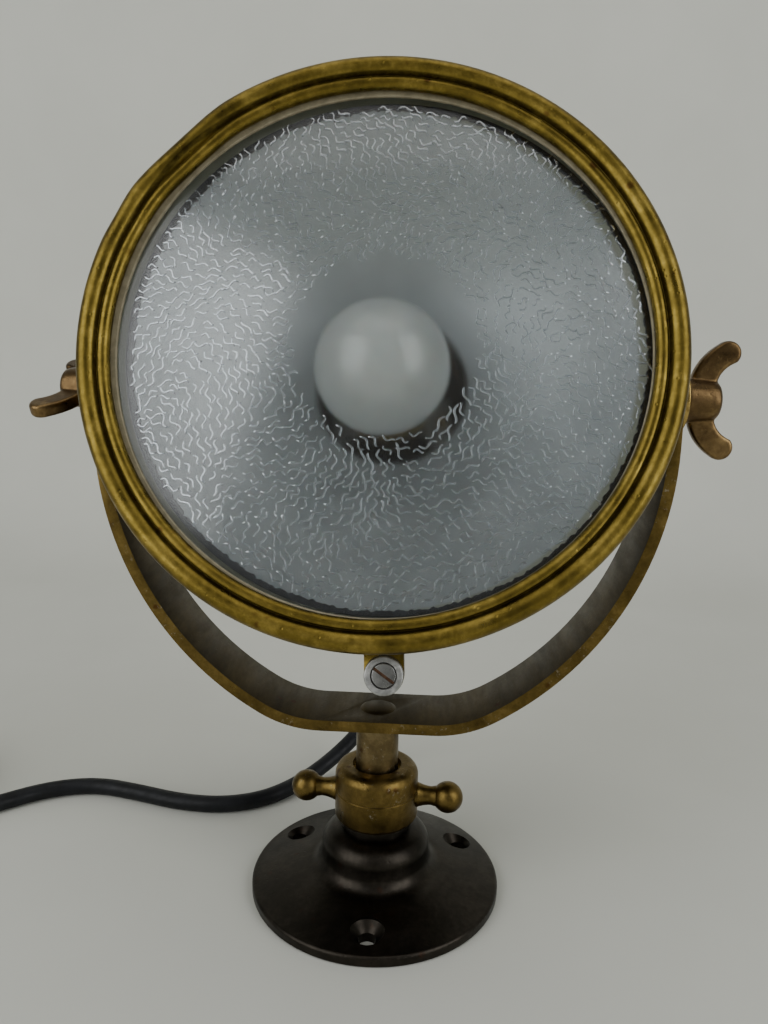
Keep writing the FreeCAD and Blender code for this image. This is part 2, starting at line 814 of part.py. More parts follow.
def friction_discs():
    disc_inner, disc_outer = pivot_places()[:2]
    disc = stud_in_head(DISC_RADIUS, disc_inner, disc_outer)
    disc = disc.cut(stud_in_head(STUD_RADIUS + SLIP, disc_inner - 1, disc_outer + 1))
    return both_sides(disc)


def pivot_washer():
    """Washer outside the strap on the right side."""
    inner, outer = pivot_places()[2:4]
    disc = along_pivot(WASHER_RADIUS, inner, outer, 0, PIVOT_HEIGHT)
    disc = disc.cut(along_pivot(STUD_RADIUS + SLIP, inner - 1, outer + 1, 0, PIVOT_HEIGHT))
    edges = [edge for edge in disc.Edges if edge.Length > 2 * math.pi * (WASHER_RADIUS - 1)]
    round_edges = [edge for edge in edges if edge.BoundBox.XLength < 0.01]
    return disc.makeFillet(WASHER_THICKNESS / 4, round_edges)


def wing():
    """One horn-shaped wing, upwards, in the nut's own frame along X."""
    def across(out, up):
        return Vector(out, -WING_THICKNESS / 2, up)
    lobe = WING_LOBE_RADIUS
    open_side = math.radians(45 - WING_LOBE_HALF_ANGLE)
    start = (1.6, HUB_RADIUS * 0.6)
    inner_side = (WING_LOBE_OUT + lobe * math.sin(open_side), WING_LOBE_UP + lobe * math.cos(open_side))
    outer_side = (WING_LOBE_OUT + lobe * math.cos(open_side), WING_LOBE_UP + lobe * math.sin(open_side))
    end = (HUB_LENGTH - HUB_END_ROUND, HUB_END_RADIUS * 0.6)
    lobe_bulge = lobe * (1 - math.cos(math.radians(WING_LOBE_HALF_ANGLE)))
    face = outline_face(
        across,
        start,
        (inner_side[0], inner_side[1], WING_BOW),
        (outer_side[0], outer_side[1], lobe_bulge),
        (end[0], end[1], -WING_BOW),
    )
    return face.extrude(Vector(0, WING_THICKNESS, 0))


def wing_nut():
    """Wing nut in its own frame: axis X, inner face at x = 0, wings up and down."""
    def along(distance, radius):
        return Vector(distance, 0, radius)
    hub = outline_face(
        along,
        (0, 0),
        (0, HUB_RADIUS),
        (HUB_LENGTH - HUB_END_ROUND, HUB_END_RADIUS),
        (HUB_LENGTH, HUB_END_RADIUS - HUB_END_ROUND, 0.6),
        (HUB_LENGTH, 0),
    ).revolve(ORIGIN, X_AXIS, 360)
    upper = wing()
    lower = wing().mirror(ORIGIN, Z_AXIS)
    body = hub.fuse([upper, lower])
    body = body.cut(along_pivot(STUD_RADIUS + RUNNING, -1, HUB_LENGTH + 8))
    return body.removeSplitter()


def wing_nut_right():
    nut = wing_nut()
    nut.translate(Vector(pivot_places()[4], 0, PIVOT_HEIGHT))
    return nut


def wing_nut_left():
    """The left nut stands with one wing forward and slightly down."""
    nut = wing_nut()
    nut.rotate(ORIGIN, Z_AXIS, 180)
    nut.rotate(ORIGIN, X_AXIS, 90 + LEFT_WING_ANGLE)
    nut.translate(Vector(-pivot_places()[4], 0, PIVOT_HEIGHT))
    return nut


# Housing

def housing_solid(inset, front):
    """Closed form of the housing, in by inset from its outer face."""
    radius = HOUSING_RADIUS - inset
    flat = HOUSING_FLAT_RADIUS
    back = HOUSING_BACK + inset
    across = radius - flat
    deep = HOUSING_STRAIGHT_END - back
    count = 8
    points = []
    for index in range(count + 1):
        angle = index / count * math.pi / 2
        points.append(in_head(flat + across * math.cos(angle), HOUSING_STRAIGHT_END - deep * math.sin(angle)))
    edges = outline_edges(in_head, (flat, back), (0, back), (0, front), (radius, front), (radius, HOUSING_STRAIGHT_END))
    edges.append(spline_through(points, Y_AXIS, -X_AXIS))
    return Part.Face(Part.Wire(edges)).revolve(ORIGIN, Y_AXIS, 360)


def gland_way():
    """Way out of the gland in the head's frame, straight away from the tilt axis."""
    angle = math.radians(GLAND_ANGLE)
    return Vector(0, math.cos(angle), -math.sin(angle))


def on_gland(distance):
    return Vector(0, HEAD_FORWARD, -HEAD_RAISE) + gland_way() * distance


def gland_cylinder(radius, start, end):
    return Part.makeCylinder(radius, end - start, on_gland(start), gland_way())


def housing_shell():
    """Spun shell with holes for the pivots, the gland, the key and the bracket's screws."""
    shell = housing_solid(0, HOUSING_FRONT).cut(housing_solid(WALL, HOUSING_FRONT + 1))
    hole = stud_in_head(STUD_RADIUS + SLIP, -HOUSING_RADIUS - 1, HOUSING_RADIUS + 1)
    shell = shell.cut(hole)
    shell = shell.cut(gland_cylinder(GLAND_SPIGOT + RUNNING, GLAND_BASE - 4, GLAND_FACE))
    shell = shell.cut(along_optics(KEY_WALL_HOLE, HOUSING_BACK - 1, HOUSING_BACK + WALL + 1))
    for side in (1, -1):
        x = side * BRACKET_SCREW_AT
        shell = shell.cut(along_optics(BRACKET_SCREW_RADIUS + SLIP, HOUSING_BACK - 1, HOUSING_BACK + WALL + 1, x))
    return shell


def clearance_hole(radius):
    """Hole for the rim screw through a lug."""
    return along_optics(radius, LUG_REAR - 20, LUG_FRONT + 10, 0, -LUG_AT)


def lug(rear, front, root, width_radius):
    """Rounded lug below the rim, from the root radius to the screw."""
    body = along_optics(width_radius, rear, front, 0, -LUG_AT)
    body = body.fuse(box_in_head(width_radius, -LUG_AT, -root, rear, front))
    return body


def hinge_pin_places():
    """Half lengths of the knuckle's gap and the ears."""
    ear_inner = KNUCKLE_HALF + LOOSE
    return ear_inner, ear_inner + EAR_WIDTH


def hinge_ear(inner, outer):
    """Ear that rises from the body ring round the hinge pin."""
    radius, forward = HINGE_AT

    def across(height, distance):
        return Vector(inner, -distance, height)

    foot = BODY_RING_FOOT_RADIUS - 0.4
    face = outline_face(
        across,
        (foot, BODY_RING_REAR + 0.4),
        (foot, BODY_RING_STEP + 2.6),
        (radius - 1.4, forward + 2.4),
        (radius + 1.5, forward - EAR_RADIUS * 0.9),
    )
    ear = face.extrude(Vector(outer - inner, 0, 0))
    return ear.fuse(along_pivot(EAR_RADIUS, inner, outer, -forward, radius))


def body_ring():
    """Ring on the housing's front: the reflector's seat, the hinge ears and the rim screw's lug."""
    ring = turned_in_head(
        (HOUSING_RADIUS, BODY_RING_REAR),
        (BODY_RING_FOOT_RADIUS, BODY_RING_REAR),
        (BODY_RING_FOOT_RADIUS, BODY_RING_STEP),
        (BODY_RING_RADIUS, BODY_RING_STEP),
        (BODY_RING_RADIUS, BODY_RING_FRONT),
        (BODY_RING_BORE, BODY_RING_FRONT),
        (BODY_RING_BORE, HOUSING_FRONT),
        (HOUSING_RADIUS, HOUSING_FRONT),
    )
    ear_inner, ear_outer = hinge_pin_places()
    ear = hinge_ear(ear_inner, ear_outer)
    front = LUG_REAR - BODY_LUG_GAP
    screw_lug = lug(front - BODY_LUG_THICKNESS, front, BODY_RING_FOOT_RADIUS - 1, LUG_RADIUS)
    ring = ring.fuse([ear, mirrored_in_x(ear), screw_lug])
    radius, forward = HINGE_AT
    ring = ring.cut(along_pivot(HINGE_PIN_RADIUS, -ear_outer - 1, ear_outer + 1, -forward, radius))
    ring = ring.cut(clearance_hole(RIM_SCREW_RADIUS + LOOSE))
    return ring.removeSplitter()


def hinge_pin():
    radius, forward = HINGE_AT
    reach = hinge_pin_places()[1]
    pin = along_pivot(HINGE_PIN_RADIUS, -reach - 1, reach, -forward, radius)
    return pin.fuse(along_pivot(HINGE_PIN_HEAD, reach, reach + 1.2, -forward, radius)).removeSplitter()


# Rim group

def bead_joint():
    """Front crossing point of the two beads' circles."""
    ar, au = OUTER_BEAD_AT
    br, bu = INNER_BEAD_AT
    gap = math.hypot(br - ar, bu - au)
    along = (gap ** 2 + OUTER_BEAD_RADIUS ** 2 - INNER_BEAD_RADIUS ** 2) / (2 * gap)
    aside = math.sqrt(OUTER_BEAD_RADIUS ** 2 - along ** 2)
    way = ((br - ar) / gap, (bu - au) / gap)
    return ar + way[0] * along + way[1] * aside, au + way[1] * along - way[0] * aside


def bead_arc(centre, radius, start, end):
    """Arc of a bead's circle by its front side, between two plane points on it."""
    first = math.atan2(start[1] - centre[1], start[0] - centre[0])
    last = math.atan2(end[1] - centre[1], end[0] - centre[0])
    if last < first:
        last += 2 * math.pi
    middle = (first + last) / 2
    through = in_head(centre[0] + radius * math.cos(middle), centre[1] + radius * math.sin(middle))
    return Part.Arc(in_head(*start), through, in_head(*end)).toShape()


def front_rim():
    """Moulded rim: skirt, outer bead, groove, inner bead, glass rebate, hinge leaf and lug."""
    ar, au = OUTER_BEAD_AT
    br, bu = INNER_BEAD_AT
    outer_start = (SKIRT_OUTER, au - math.sqrt(OUTER_BEAD_RADIUS ** 2 - (SKIRT_OUTER - ar) ** 2))
    inner_end = (br - math.sqrt(INNER_BEAD_RADIUS ** 2 - (LIP_REAR - bu) ** 2), LIP_REAR)
    joint = bead_joint()
    edges = outline_edges(
        in_head,
        inner_end,
        (RIM_BORE, LIP_REAR),
        (RIM_BORE, RIM_STEP),
        (SKIRT_INNER, RIM_STEP),
        (SKIRT_INNER, SKIRT_REAR),
        (SKIRT_OUTER, SKIRT_REAR),
        outer_start,
    )
    edges.append(bead_arc(OUTER_BEAD_AT, OUTER_BEAD_RADIUS, outer_start, joint))
    edges.append(bead_arc(INNER_BEAD_AT, INNER_BEAD_RADIUS, joint, inner_end))
    rim = Part.Face(Part.Wire(edges)).revolve(ORIGIN, Y_AXIS, 360)
    rim = rim.cut(Part.makeTorus(joint[0], GROOVE_RADIUS, in_head(0, joint[1]), Y_AXIS))
    radius, forward = HINGE_AT
    knuckle = along_pivot(KNUCKLE_RADIUS, -KNUCKLE_HALF, KNUCKLE_HALF, -forward, radius)
    leaf = box_in_head(KNUCKLE_HALF, SKIRT_OUTER - WALL / 2, LEAF_TOP, forward, LEAF_FRONT)
    leaf = leaf.cut(along_optics(SKIRT_INNER + WALL / 2, SKIRT_REAR - 8, LEAF_FRONT + 1))
    rim_lug = lug(LUG_REAR, LUG_FRONT, SKIRT_INNER + WALL / 4, LUG_RADIUS)
    rim = rim.fuse([knuckle, leaf, rim_lug])
    rim = rim.cut(along_optics(BODY_RING_RADIUS + 2 * LOOSE, LUG_REAR - 1, SKIRT_REAR + 1))
    rim = rim.cut(along_pivot(HINGE_PIN_RADIUS + RUNNING, -KNUCKLE_HALF - 1, KNUCKLE_HALF + 1, -forward, radius))
    rim = rim.cut(clearance_hole(RIM_SCREW_RADIUS + LOOSE))
    return rim.removeSplitter()


def dome_drop(radius, rise):
    """Drop of a shallow dome below its top at a radius, for a rise over the patterned disc."""
    curve = (GLASS_DOME_RADIUS ** 2 + rise ** 2) / (2 * rise)
    return curve - math.sqrt(curve ** 2 - radius ** 2)


def glass_front():
    return LIP_REAR - GASKET_THICKNESS


def lens_glass():
    """Pressed glass: flat border and a shallow dome over the patterned disc."""
    front = glass_front()
    rear = front - GLASS_EDGE
    half = GLASS_DOME_RADIUS / 2
    front_top = front + GLASS_DOME_RISE
    rear_top = front_top - GLASS_DOME_WALL
    rear_rise = rear_top - rear
    front_middle = in_head(half, front_top - dome_drop(half, GLASS_DOME_RISE))
    rear_middle = in_head(half, rear_top - dome_drop(half, rear_rise))
    edges = [
        Part.Arc(in_head(0, rear_top), rear_middle, in_head(GLASS_DOME_RADIUS, rear)).toShape(),
        Part.Arc(in_head(GLASS_DOME_RADIUS, front), front_middle, in_head(0, front_top)).toShape(),
    ]
    edges += outline_edges(
        in_head,
        (GLASS_DOME_RADIUS, rear),
        (GLASS_RADIUS, rear),
        (GLASS_RADIUS, front),
        (GLASS_DOME_RADIUS, front),
    )
    edges.append(Part.LineSegment(in_head(0, front_top), in_head(0, rear_top)).toShape())
    glass = Part.Face(Part.Wire(Part.__sortEdges__(edges))).revolve(ORIGIN, Y_AXIS, 360)
    glass.translate(Vector(GLASS_SHIFT[0], 0, GLASS_SHIFT[1]))
    return glass


def lens_gasket():
    front = LIP_REAR
    return ring_in_head(GASKET_INNER, GASKET_OUTER, front - GASKET_THICKNESS, front, GASKET_SHIFT)


def reflector_front():
    return BODY_RING_FRONT + DISH_FLANGE


def lens_seal():
    """Black sealing ring on the glass's rear face, pressed towards the reflector's flange."""
    rear = reflector_front() + LOOSE
    return ring_in_head(SEAL_INNER, SEAL_OUTER, rear, glass_front() - GLASS_EDGE, GLASS_SHIFT)


def lens_ring():
    """Split spring ring that holds the glass in the rim."""
    front = glass_front() - GLASS_EDGE - SLIP
    ring = ring_in_head(LENS_RING_INNER, RIM_BORE - SLIP, front - LENS_RING_THICKNESS, front)
    slit = box_in_head(LENS_RING_SLIT / 2, LENS_RING_INNER - 2, RIM_BORE + 1, front - 3, front + 1)
    slit.rotate(ORIGIN, Y_AXIS, 60)
    return ring.cut(slit)


def cup_rear():
    return LUG_FRONT + LOOSE


def cup_washer():
    """Zinc cup on the rim's lug, with the screw's head in its recess."""
    front = cup_rear() + CUP_THICKNESS
    cup = along_optics(CUP_RADIUS, cup_rear(), front, 0, -LUG_AT)
    cup = cup.makeFillet(0.6, [cup.Edges[front_edge(cup)]])
    cup = cup.cut(along_optics(CUP_RECESS_RADIUS, front - CUP_RECESS, front + 1, 0, -LUG_AT))
    return cup.cut(along_optics(RIM_SCREW_RADIUS + SLIP, cup_rear() - 1, front + 1, 0, -LUG_AT))


def front_edge(cylinder):
    """Index of a cylinder's front circle, which lies furthest to -Y."""
    fronts = [edge.BoundBox.YMax for edge in cylinder.Edges]
    return fronts.index(min(fronts))


def rim_screw():
    """Slotted screw of the rim."""
    seat = cup_rear() + CUP_THICKNESS - CUP_RECESS + SLIP
    front = seat + RIM_SCREW_HEAD
    head = along_optics(RIM_SCREW_HEAD_RADIUS, seat, front, 0, -LUG_AT)
    head = head.makeFillet(0.4, [head.Edges[front_edge(head)]])
    slot = box_in_head(RIM_SCREW_HEAD_RADIUS + 1, -SLOT_WIDTH / 2, SLOT_WIDTH / 2, front - SLOT_DEPTH, front + 1)
    slot.rotate(ORIGIN, Y_AXIS, RIM_SLOT_ANGLE)
    slot.translate(Vector(0, 0, -LUG_AT))
    head = head.cut(slot)
    return head.fuse(along_optics(RIM_SCREW_RADIUS, RIM_SCREW_TIP, seat, 0, -LUG_AT)).removeSplitter()


# Reflector and bulb

def dish_edge(vertex, start_radius, end_radius):
    """Parabola from one radius to another, as the curve through points of its formula."""
    def depth(radius):
        return vertex + radius ** 2 / (4 * FOCUS)

    def way(radius):
        return in_head(1, radius / (2 * FOCUS)) * (end_radius - start_radius)

    count = 10
    points = []
    for index in range(count + 1):
        radius = start_radius + (end_radius - start_radius) * index / count
        points.append(in_head(radius, depth(radius)))
    return spline_through(points, way(start_radius), way(end_radius))


def reflector():
    """Silvered dish with a flat flange on the body ring's seat."""
    seat = BODY_RING_FRONT
    front = reflector_front()
    front_end = DISH_VERTEX + DISH_RADIUS ** 2 / (4 * FOCUS)
    rear_vertex = DISH_VERTEX - DISH_WALL
    rear_radius = math.sqrt((seat - rear_vertex) * 4 * FOCUS)
    hole_front = DISH_VERTEX + DISH_HOLE ** 2 / (4 * FOCUS)
    edges = [dish_edge(DISH_VERTEX, DISH_HOLE, DISH_RADIUS)]
    edges += outline_edges(
        in_head,
        (DISH_RADIUS, front_end),
        (DISH_RADIUS + SLIP, front),
        (DISH_FLANGE_RADIUS, front),
        (DISH_FLANGE_RADIUS, seat),
        (rear_radius, seat),
    )
    edges.append(dish_edge(rear_vertex, rear_radius, DISH_HOLE))
    edges += outline_edges(in_head, (DISH_HOLE, hole_front - DISH_WALL), (DISH_HOLE, hole_front))
    dish = Part.Face(Part.Wire(edges)).revolve(ORIGIN, Y_AXIS, 360)
    dish.translate(Vector(DISH_SHIFT, 0, 0))
    return dish


def bulb_solid(inset, neck_end):
    """Round bulb that flows into its neck, in by inset."""
    radius = BULB_RADIUS - inset
    neck = BULB_NECK_RADIUS - inset
    leave = math.radians(BULB_LEAVE_ANGLE)
    join = (radius * math.cos(leave), BULB_CENTRE - radius * math.sin(leave))
    flow = (join[0] - neck) / (1 - math.cos(leave))
    neck_start = join[1] - flow * math.sin(leave)
    half = leave / 2
    flow_middle = (neck + flow - flow * math.cos(half), neck_start + flow * math.sin(half))
    side = (radius * math.cos(leave / 2 - math.pi / 4), BULB_CENTRE - radius * math.sin(leave / 2 - math.pi / 4))
    edges = [
        Part.Arc(in_head(0, BULB_CENTRE + radius), in_head(*side), in_head(*join)).toShape(),
        Part.Arc(in_head(*join), in_head(*flow_middle), in_head(neck, neck_start)).toShape(),
    ]
    edges += outline_edges(
        in_head,
        (neck, neck_start),
        (neck, neck_end),
        (0, neck_end),
        (0, BULB_CENTRE + radius),
    )
    return Part.Face(Part.Wire(edges)).revolve(ORIGIN, Y_AXIS, 360)


def bulb_glass():
    return bulb_solid(0, BULB_NECK_END).cut(bulb_solid(BULB_WALL, BULB_NECK_END - 1))


def bulb_cap():
    """Bayonet cap with two pins."""
    cap = along_optics(CAP_RADIUS, CAP_END, CAP_FRONT)
    cap = cap.cut(along_optics(BULB_NECK_RADIUS + RUNNING, CAP_END + CAP_FLOOR, CAP_FRONT + 1))
    pins = Part.makeCylinder(CAP_PIN_RADIUS, 2 * CAP_PIN_REACH, Vector(0, -CAP_PIN_AT, -CAP_PIN_REACH), Z_AXIS)
    pins = pins.cut(along_optics(BULB_NECK_RADIUS + RUNNING, CAP_END, CAP_FRONT))
    return cap.fuse(pins).removeSplitter()


def bulb_stem():
    """Glass stem inside the bulb."""
    stem = turned_in_head(
        (0, BULB_NECK_END),
        (BULB_NECK_RADIUS - BULB_WALL - SLIP, BULB_NECK_END),
        (STEM_RADIUS, BULB_NECK_END + 8, 1.0),
        (STEM_RADIUS * 0.6, STEM_FRONT),
        (0, STEM_FRONT),
    )
    return stem


def filament():
    """Bent wire between two supports on the stem."""
    start = in_head(STEM_RADIUS * 0.4, STEM_FRONT)
    left = in_head(-STEM_RADIUS * 0.4, STEM_FRONT)
    right_tip = in_head(FILAMENT_RADIUS, BULB_CENTRE)
    left_tip = in_head(-FILAMENT_RADIUS, BULB_CENTRE)
    top = in_head(0, BULB_CENTRE + 2.0)
    edges = rounded_route([start, right_tip, top, left_tip, left])[0]
    return tube(edges, FILAMENT_WIRE)


# Lampholder, bracket and wiring

def bayonet_slots():
    """Straight slots for the cap's pins, up and down."""
    reach = HOLDER_TUBE + SLIP
    rear = CAP_PIN_AT - BAYONET_SLOT / 2
    slots = box_in_head(BAYONET_SLOT / 2, -reach, reach, rear, HOLDER_TUBE_FRONT + 1)
    return slots.cut(along_optics(HOLDER_BORE - 1, rear - 1, HOLDER_TUBE_FRONT + 2))


def lampholder_shell():
    shell = turned_in_head(
        (0, HOLDER_END),
        (HOLDER_BODY, HOLDER_END),
        (HOLDER_BODY, HOLDER_BODY_FRONT),
        (HOLDER_TUBE, HOLDER_BODY_FRONT + 1.5),
        (HOLDER_TUBE, HOLDER_TUBE_FRONT),
        (0, HOLDER_TUBE_FRONT),
    )
    shell = shell.cut(along_optics(HOLDER_BORE, HOLDER_END + HOLDER_FLOOR, HOLDER_TUBE_FRONT + 1))
    return shell.cut(bayonet_slots())


def lampholder_ring():
    """Shade ring screwed on the holder's tube."""
    front = HOLDER_RING_FRONT
    return ring_in_head(HOLDER_TUBE + SLIP, HOLDER_RING_RADIUS, front - HOLDER_RING_LENGTH, front)


def lampholder_core():
    """Ceramic floor with holes for the two spring plungers."""
    rear = HOLDER_END + HOLDER_FLOOR
    core = along_optics(HOLDER_BORE - SLIP, rear, rear + CORE_THICKNESS)
    for x in (PLUNGER_AT, -PLUNGER_AT):
        core = core.cut(along_optics(PLUNGER_RADIUS + RUNNING, rear - 1, rear + CORE_THICKNESS + 1, x))
    return core


def lampholder_plungers():
    rear = HOLDER_END + HOLDER_FLOOR
    plungers = []
    for x in (PLUNGER_AT, -PLUNGER_AT):
        plungers.append(along_optics(PLUNGER_RADIUS, rear, CAP_END - SLIP, x))
    return Part.makeCompound(plungers)


def holder_bracket():
    """U-shaped bracket between the holder and the back wall."""
    inner_wall = HOUSING_BACK + WALL
    low, high = -BRACKET_HALF_HEIGHT, BRACKET_HALF_HEIGHT
    body = box_in_head(BRACKET_HALF_WIDTH, low, high, inner_wall, HOLDER_END)
    body = body.cut(box_in_head(BRACKET_HALF_WIDTH - BRACKET_WALL, low - 1, high + 1, inner_wall - 1, HOLDER_END - BRACKET_WALL))
    feet = box_in_head(BRACKET_FOOT_REACH, low, high, inner_wall, inner_wall + BRACKET_WALL)
    feet = feet.cut(box_in_head(BRACKET_HALF_WIDTH - BRACKET_WALL, low - 1, high + 1, inner_wall - 1, inner_wall + 3))
    body = body.fuse(feet)
    for x in (BRACKET_SCREW_AT, -BRACKET_SCREW_AT):
        body = body.cut(along_optics(BRACKET_SCREW_RADIUS, inner_wall - 1, inner_wall + 3, x))
    return body.removeSplitter()


def bracket_screws():
    """Screws from outside through the key's flange, the wall and the bracket's feet."""
    seat = HOUSING_BACK - KEY_FLANGE
    end = HOUSING_BACK + WALL + BRACKET_WALL + 1.5
    screws = []
    for x in (BRACKET_SCREW_AT, -BRACKET_SCREW_AT):
        head = along_optics(BRACKET_SCREW_HEAD_RADIUS, seat - BRACKET_SCREW_HEAD, seat, x)
        slot = box_in_head(BRACKET_SCREW_HEAD_RADIUS + 1, -SLOT_WIDTH / 2, SLOT_WIDTH / 2,
                           seat - BRACKET_SCREW_HEAD - 1, seat - BRACKET_SCREW_HEAD + SLOT_DEPTH, x)
        screw = head.cut(slot).fuse(along_optics(BRACKET_SCREW_RADIUS, seat, end, x))
        screws.append(screw.removeSplitter())
    return Part.makeCompound(screws)


def terminal_block():
    rear = HOUSING_BACK + WALL
    return box_in_head(BLOCK_WIDTH / 2, BLOCK_BOTTOM, BLOCK_BOTTOM + BLOCK_HEIGHT, rear, rear + BLOCK_DEPTH)


def terminal_screws():
    front = HOUSING_BACK + WALL + BLOCK_DEPTH
    z = BLOCK_BOTTOM + BLOCK_HEIGHT - TERMINAL_RADIUS - 0.5
    screws = [along_optics(TERMINAL_RADIUS, front, front + TERMINAL_HEAD, x, z) for x in (TERMINAL_AT, -TERMINAL_AT)]
    return Part.makeCompound(screws)


def key_contact_tail():
    """Forward ends of the contact studs inside the housing."""
    return HOUSING_BACK + KEY_CONTACT_TAIL


def inner_wires():
    """Two wires from the gland to the block, and two from the block to the key."""
    block_front = HOUSING_BACK + WALL + BLOCK_DEPTH
    low = on_gland(GLAND_BASE)
    wires = []
    for side in (1, -1):
        points = [
            Vector(side * 2.2, low.y, low.z),
            Vector(side * 2.4, -block_front - 4, low.z + 16),
            Vector(side * 4.0, -block_front + 2, BLOCK_BOTTOM - 10),
            Vector(side * 4.4, -block_front + 2.4, BLOCK_BOTTOM),
        ]
        wires.append(tube(rounded_route(points)[0], WIRE_RADIUS))
        x = side * KEY_CONTACT_AT
        points = [
            Vector(side * (TERMINAL_AT + 1), -block_front, BLOCK_BOTTOM + 2),
            Vector(side * (TERMINAL_AT + 1), -block_front - 5, BLOCK_BOTTOM - 1),
            Vector(side * (KEY_CONTACT_AT + 1), -block_front - 4, 3),
            Vector(x, -key_contact_tail(), 0),
        ]
        wires.append(tube(rounded_route(points)[0], WIRE_RADIUS))
    return Part.makeCompound(wires)


# Gland

def gland_body():
    """Angled gland seated on the dome, with its spigot through the wall."""
    body = gland_cylinder(GLAND_RADIUS, GLAND_BASE, GLAND_FACE).cut(housing_solid(0, HOUSING_FRONT))
    body = body.fuse(gland_cylinder(GLAND_SPIGOT, GLAND_BASE, GLAND_FACE))
    return body.removeSplitter()


def gland_nut():
    end = GLAND_FACE + GLAND_NUT_LENGTH
    nut = gland_cylinder(GLAND_NUT_RADIUS, GLAND_FACE, end)
    return nut.cut(gland_cylinder(RELIEF_RADIUS + SLIP, GLAND_FACE - 1, end + 1))


def strain_relief():
    """Rubber sleeve, straight in the nut and tapered outside it."""
    start = GLAND_FACE
    neck = GLAND_FACE + GLAND_NUT_LENGTH + RELIEF_SEAT
    sleeve = gland_cylinder(RELIEF_RADIUS, start, neck)
    taper = Part.makeCone(RELIEF_RADIUS, RELIEF_END_RADIUS, RELIEF_END - neck, on_gland(neck), gland_way())
    return sleeve.fuse(taper).removeSplitter()


# Signal key

def key_end():
    """Rear face of the key's housing."""
    return HOUSING_BACK - KEY_LENGTH


def key_housing():
    rear = HOUSING_BACK
    body = along_optics(KEY_FLANGE_RADIUS, rear - KEY_FLANGE, rear)
    body = body.fuse(along_optics(KEY_RADIUS, key_end(), rear))
    body = body.cut(along_optics(KEY_BORE, key_end() + KEY_END_WALL, rear + 1))
    body = body.cut(along_optics(KEY_BUTTON_RADIUS + LOOSE, key_end() - 1, rear))
    for x in (BRACKET_SCREW_AT, -BRACKET_SCREW_AT):
        body = body.cut(along_optics(BRACKET_SCREW_RADIUS + SLIP, rear - KEY_FLANGE - 1, rear + 1, x))
    return body.removeSplitter()


def collar_rear():
    """Rear face of the button's collar, just inside the end wall."""
    return key_end() + KEY_END_WALL + LOOSE


def key_insulator():
    rear = HOUSING_BACK
    disc = along_optics(KEY_BORE - SLIP, rear - KEY_INSULATOR, rear)
    for x in (KEY_CONTACT_AT, -KEY_CONTACT_AT):
        disc = disc.cut(along_optics(KEY_CONTACT_RADIUS + RUNNING, rear - KEY_INSULATOR - 1, rear + 1, x))
    return disc


def bridge_front():
    """Front face of the moving bridge at rest."""
    return collar_rear() + KEY_COLLAR + 5.0


def key_contacts():
    """Fixed studs that the bridge closes when the button is pressed."""
    rear = bridge_front() + KEY_CONTACT_GAP
    studs = [along_optics(KEY_CONTACT_RADIUS, rear, key_contact_tail(), x) for x in (KEY_CONTACT_AT, -KEY_CONTACT_AT)]
    return Part.makeCompound(studs)


def key_button():
    """Button with a retaining collar and a stem."""
    front = collar_rear() + KEY_COLLAR
    end = key_end() - KEY_BUTTON_LENGTH + KEY_END_WALL
    button = turned_in_head(
        (0, front),
        (KEY_COLLAR_RADIUS, front),
        (KEY_COLLAR_RADIUS, collar_rear()),
        (KEY_BUTTON_RADIUS, collar_rear()),
        (KEY_BUTTON_RADIUS, end + KEY_BUTTON_ROUND),
        (KEY_BUTTON_RADIUS - KEY_BUTTON_ROUND, end, -0.4),
        (0, end),
    )
    return button.fuse(along_optics(KEY_STEM_RADIUS, front, bridge_front() - KEY_BRIDGE)).removeSplitter()


def key_bridge():
    half = KEY_BRIDGE_WIDTH / 2
    return box_in_head(KEY_BRIDGE_HALF, -half, half, bridge_front() - KEY_BRIDGE, bridge_front())


def spring_state(turns):
    """Point and way of the key's spring after a number of turns."""
    start = HOUSING_BACK - KEY_INSULATOR - SPRING_WIRE - RUNNING
    end = collar_rear() + KEY_COLLAR + SPRING_WIRE + RUNNING
    angle = 2 * math.pi * turns
    rise = (end - start) / SPRING_TURNS
    point = Vector(
        SPRING_RADIUS * math.cos(angle),
        -(start + rise * turns),
        SPRING_RADIUS * math.sin(angle),
    )
    way = Vector(
        -SPRING_RADIUS * math.sin(angle),
        -rise / (2 * math.pi),
        SPRING_RADIUS * math.cos(angle),
    )
    return point, unit(way)


def key_spring():
    """Helical return spring between the insulator and the collar."""
    stops = [index / 4 for index in range(4 * SPRING_TURNS + 1)]
    return tube(wound_edges(spring_state, stops), SPRING_WIRE)


# Cord and plug

def in_lamp(point):
    """A point of the head's frame in the lamp's frame at rest."""
    marker = place_head(Part.Vertex(point))
    return marker.Point


def cord_start():
    return in_lamp(on_gland(RELIEF_END + CORD_START_GAP))


def split_point():
    return (Vector(*UPPER_ROUTE[-1]) + Vector(*SPLIT_RUN_END)) * 0.5


def cord_upper():
    """From the strain relief to the middle of a run behind the yoke."""
    way = unit(Vector(*SPLIT_RUN_END) - Vector(*UPPER_ROUTE[-1]))
    points = [cord_start()] + [Vector(*point) for point in UPPER_ROUTE]
    points.append(split_point() - way * CORD_SPLIT_GAP)
    return route_tube("cord_upper", points, CORD_RADIUS)


def cord_lower():
    """From the split down to the table and away to the left."""
    points = [split_point(), Vector(*SPLIT_RUN_END)] + [Vector(*point) for point in LOWER_ROUTE]
    return route_tube("cord_lower", points, CORD_RADIUS)


def coil_entry():
    """Start point and way of the coil's turns."""
    last = Vector(*LOWER_ROUTE[-1])
    way = unit(last - Vector(*LOWER_ROUTE[-2]))
    return last, way


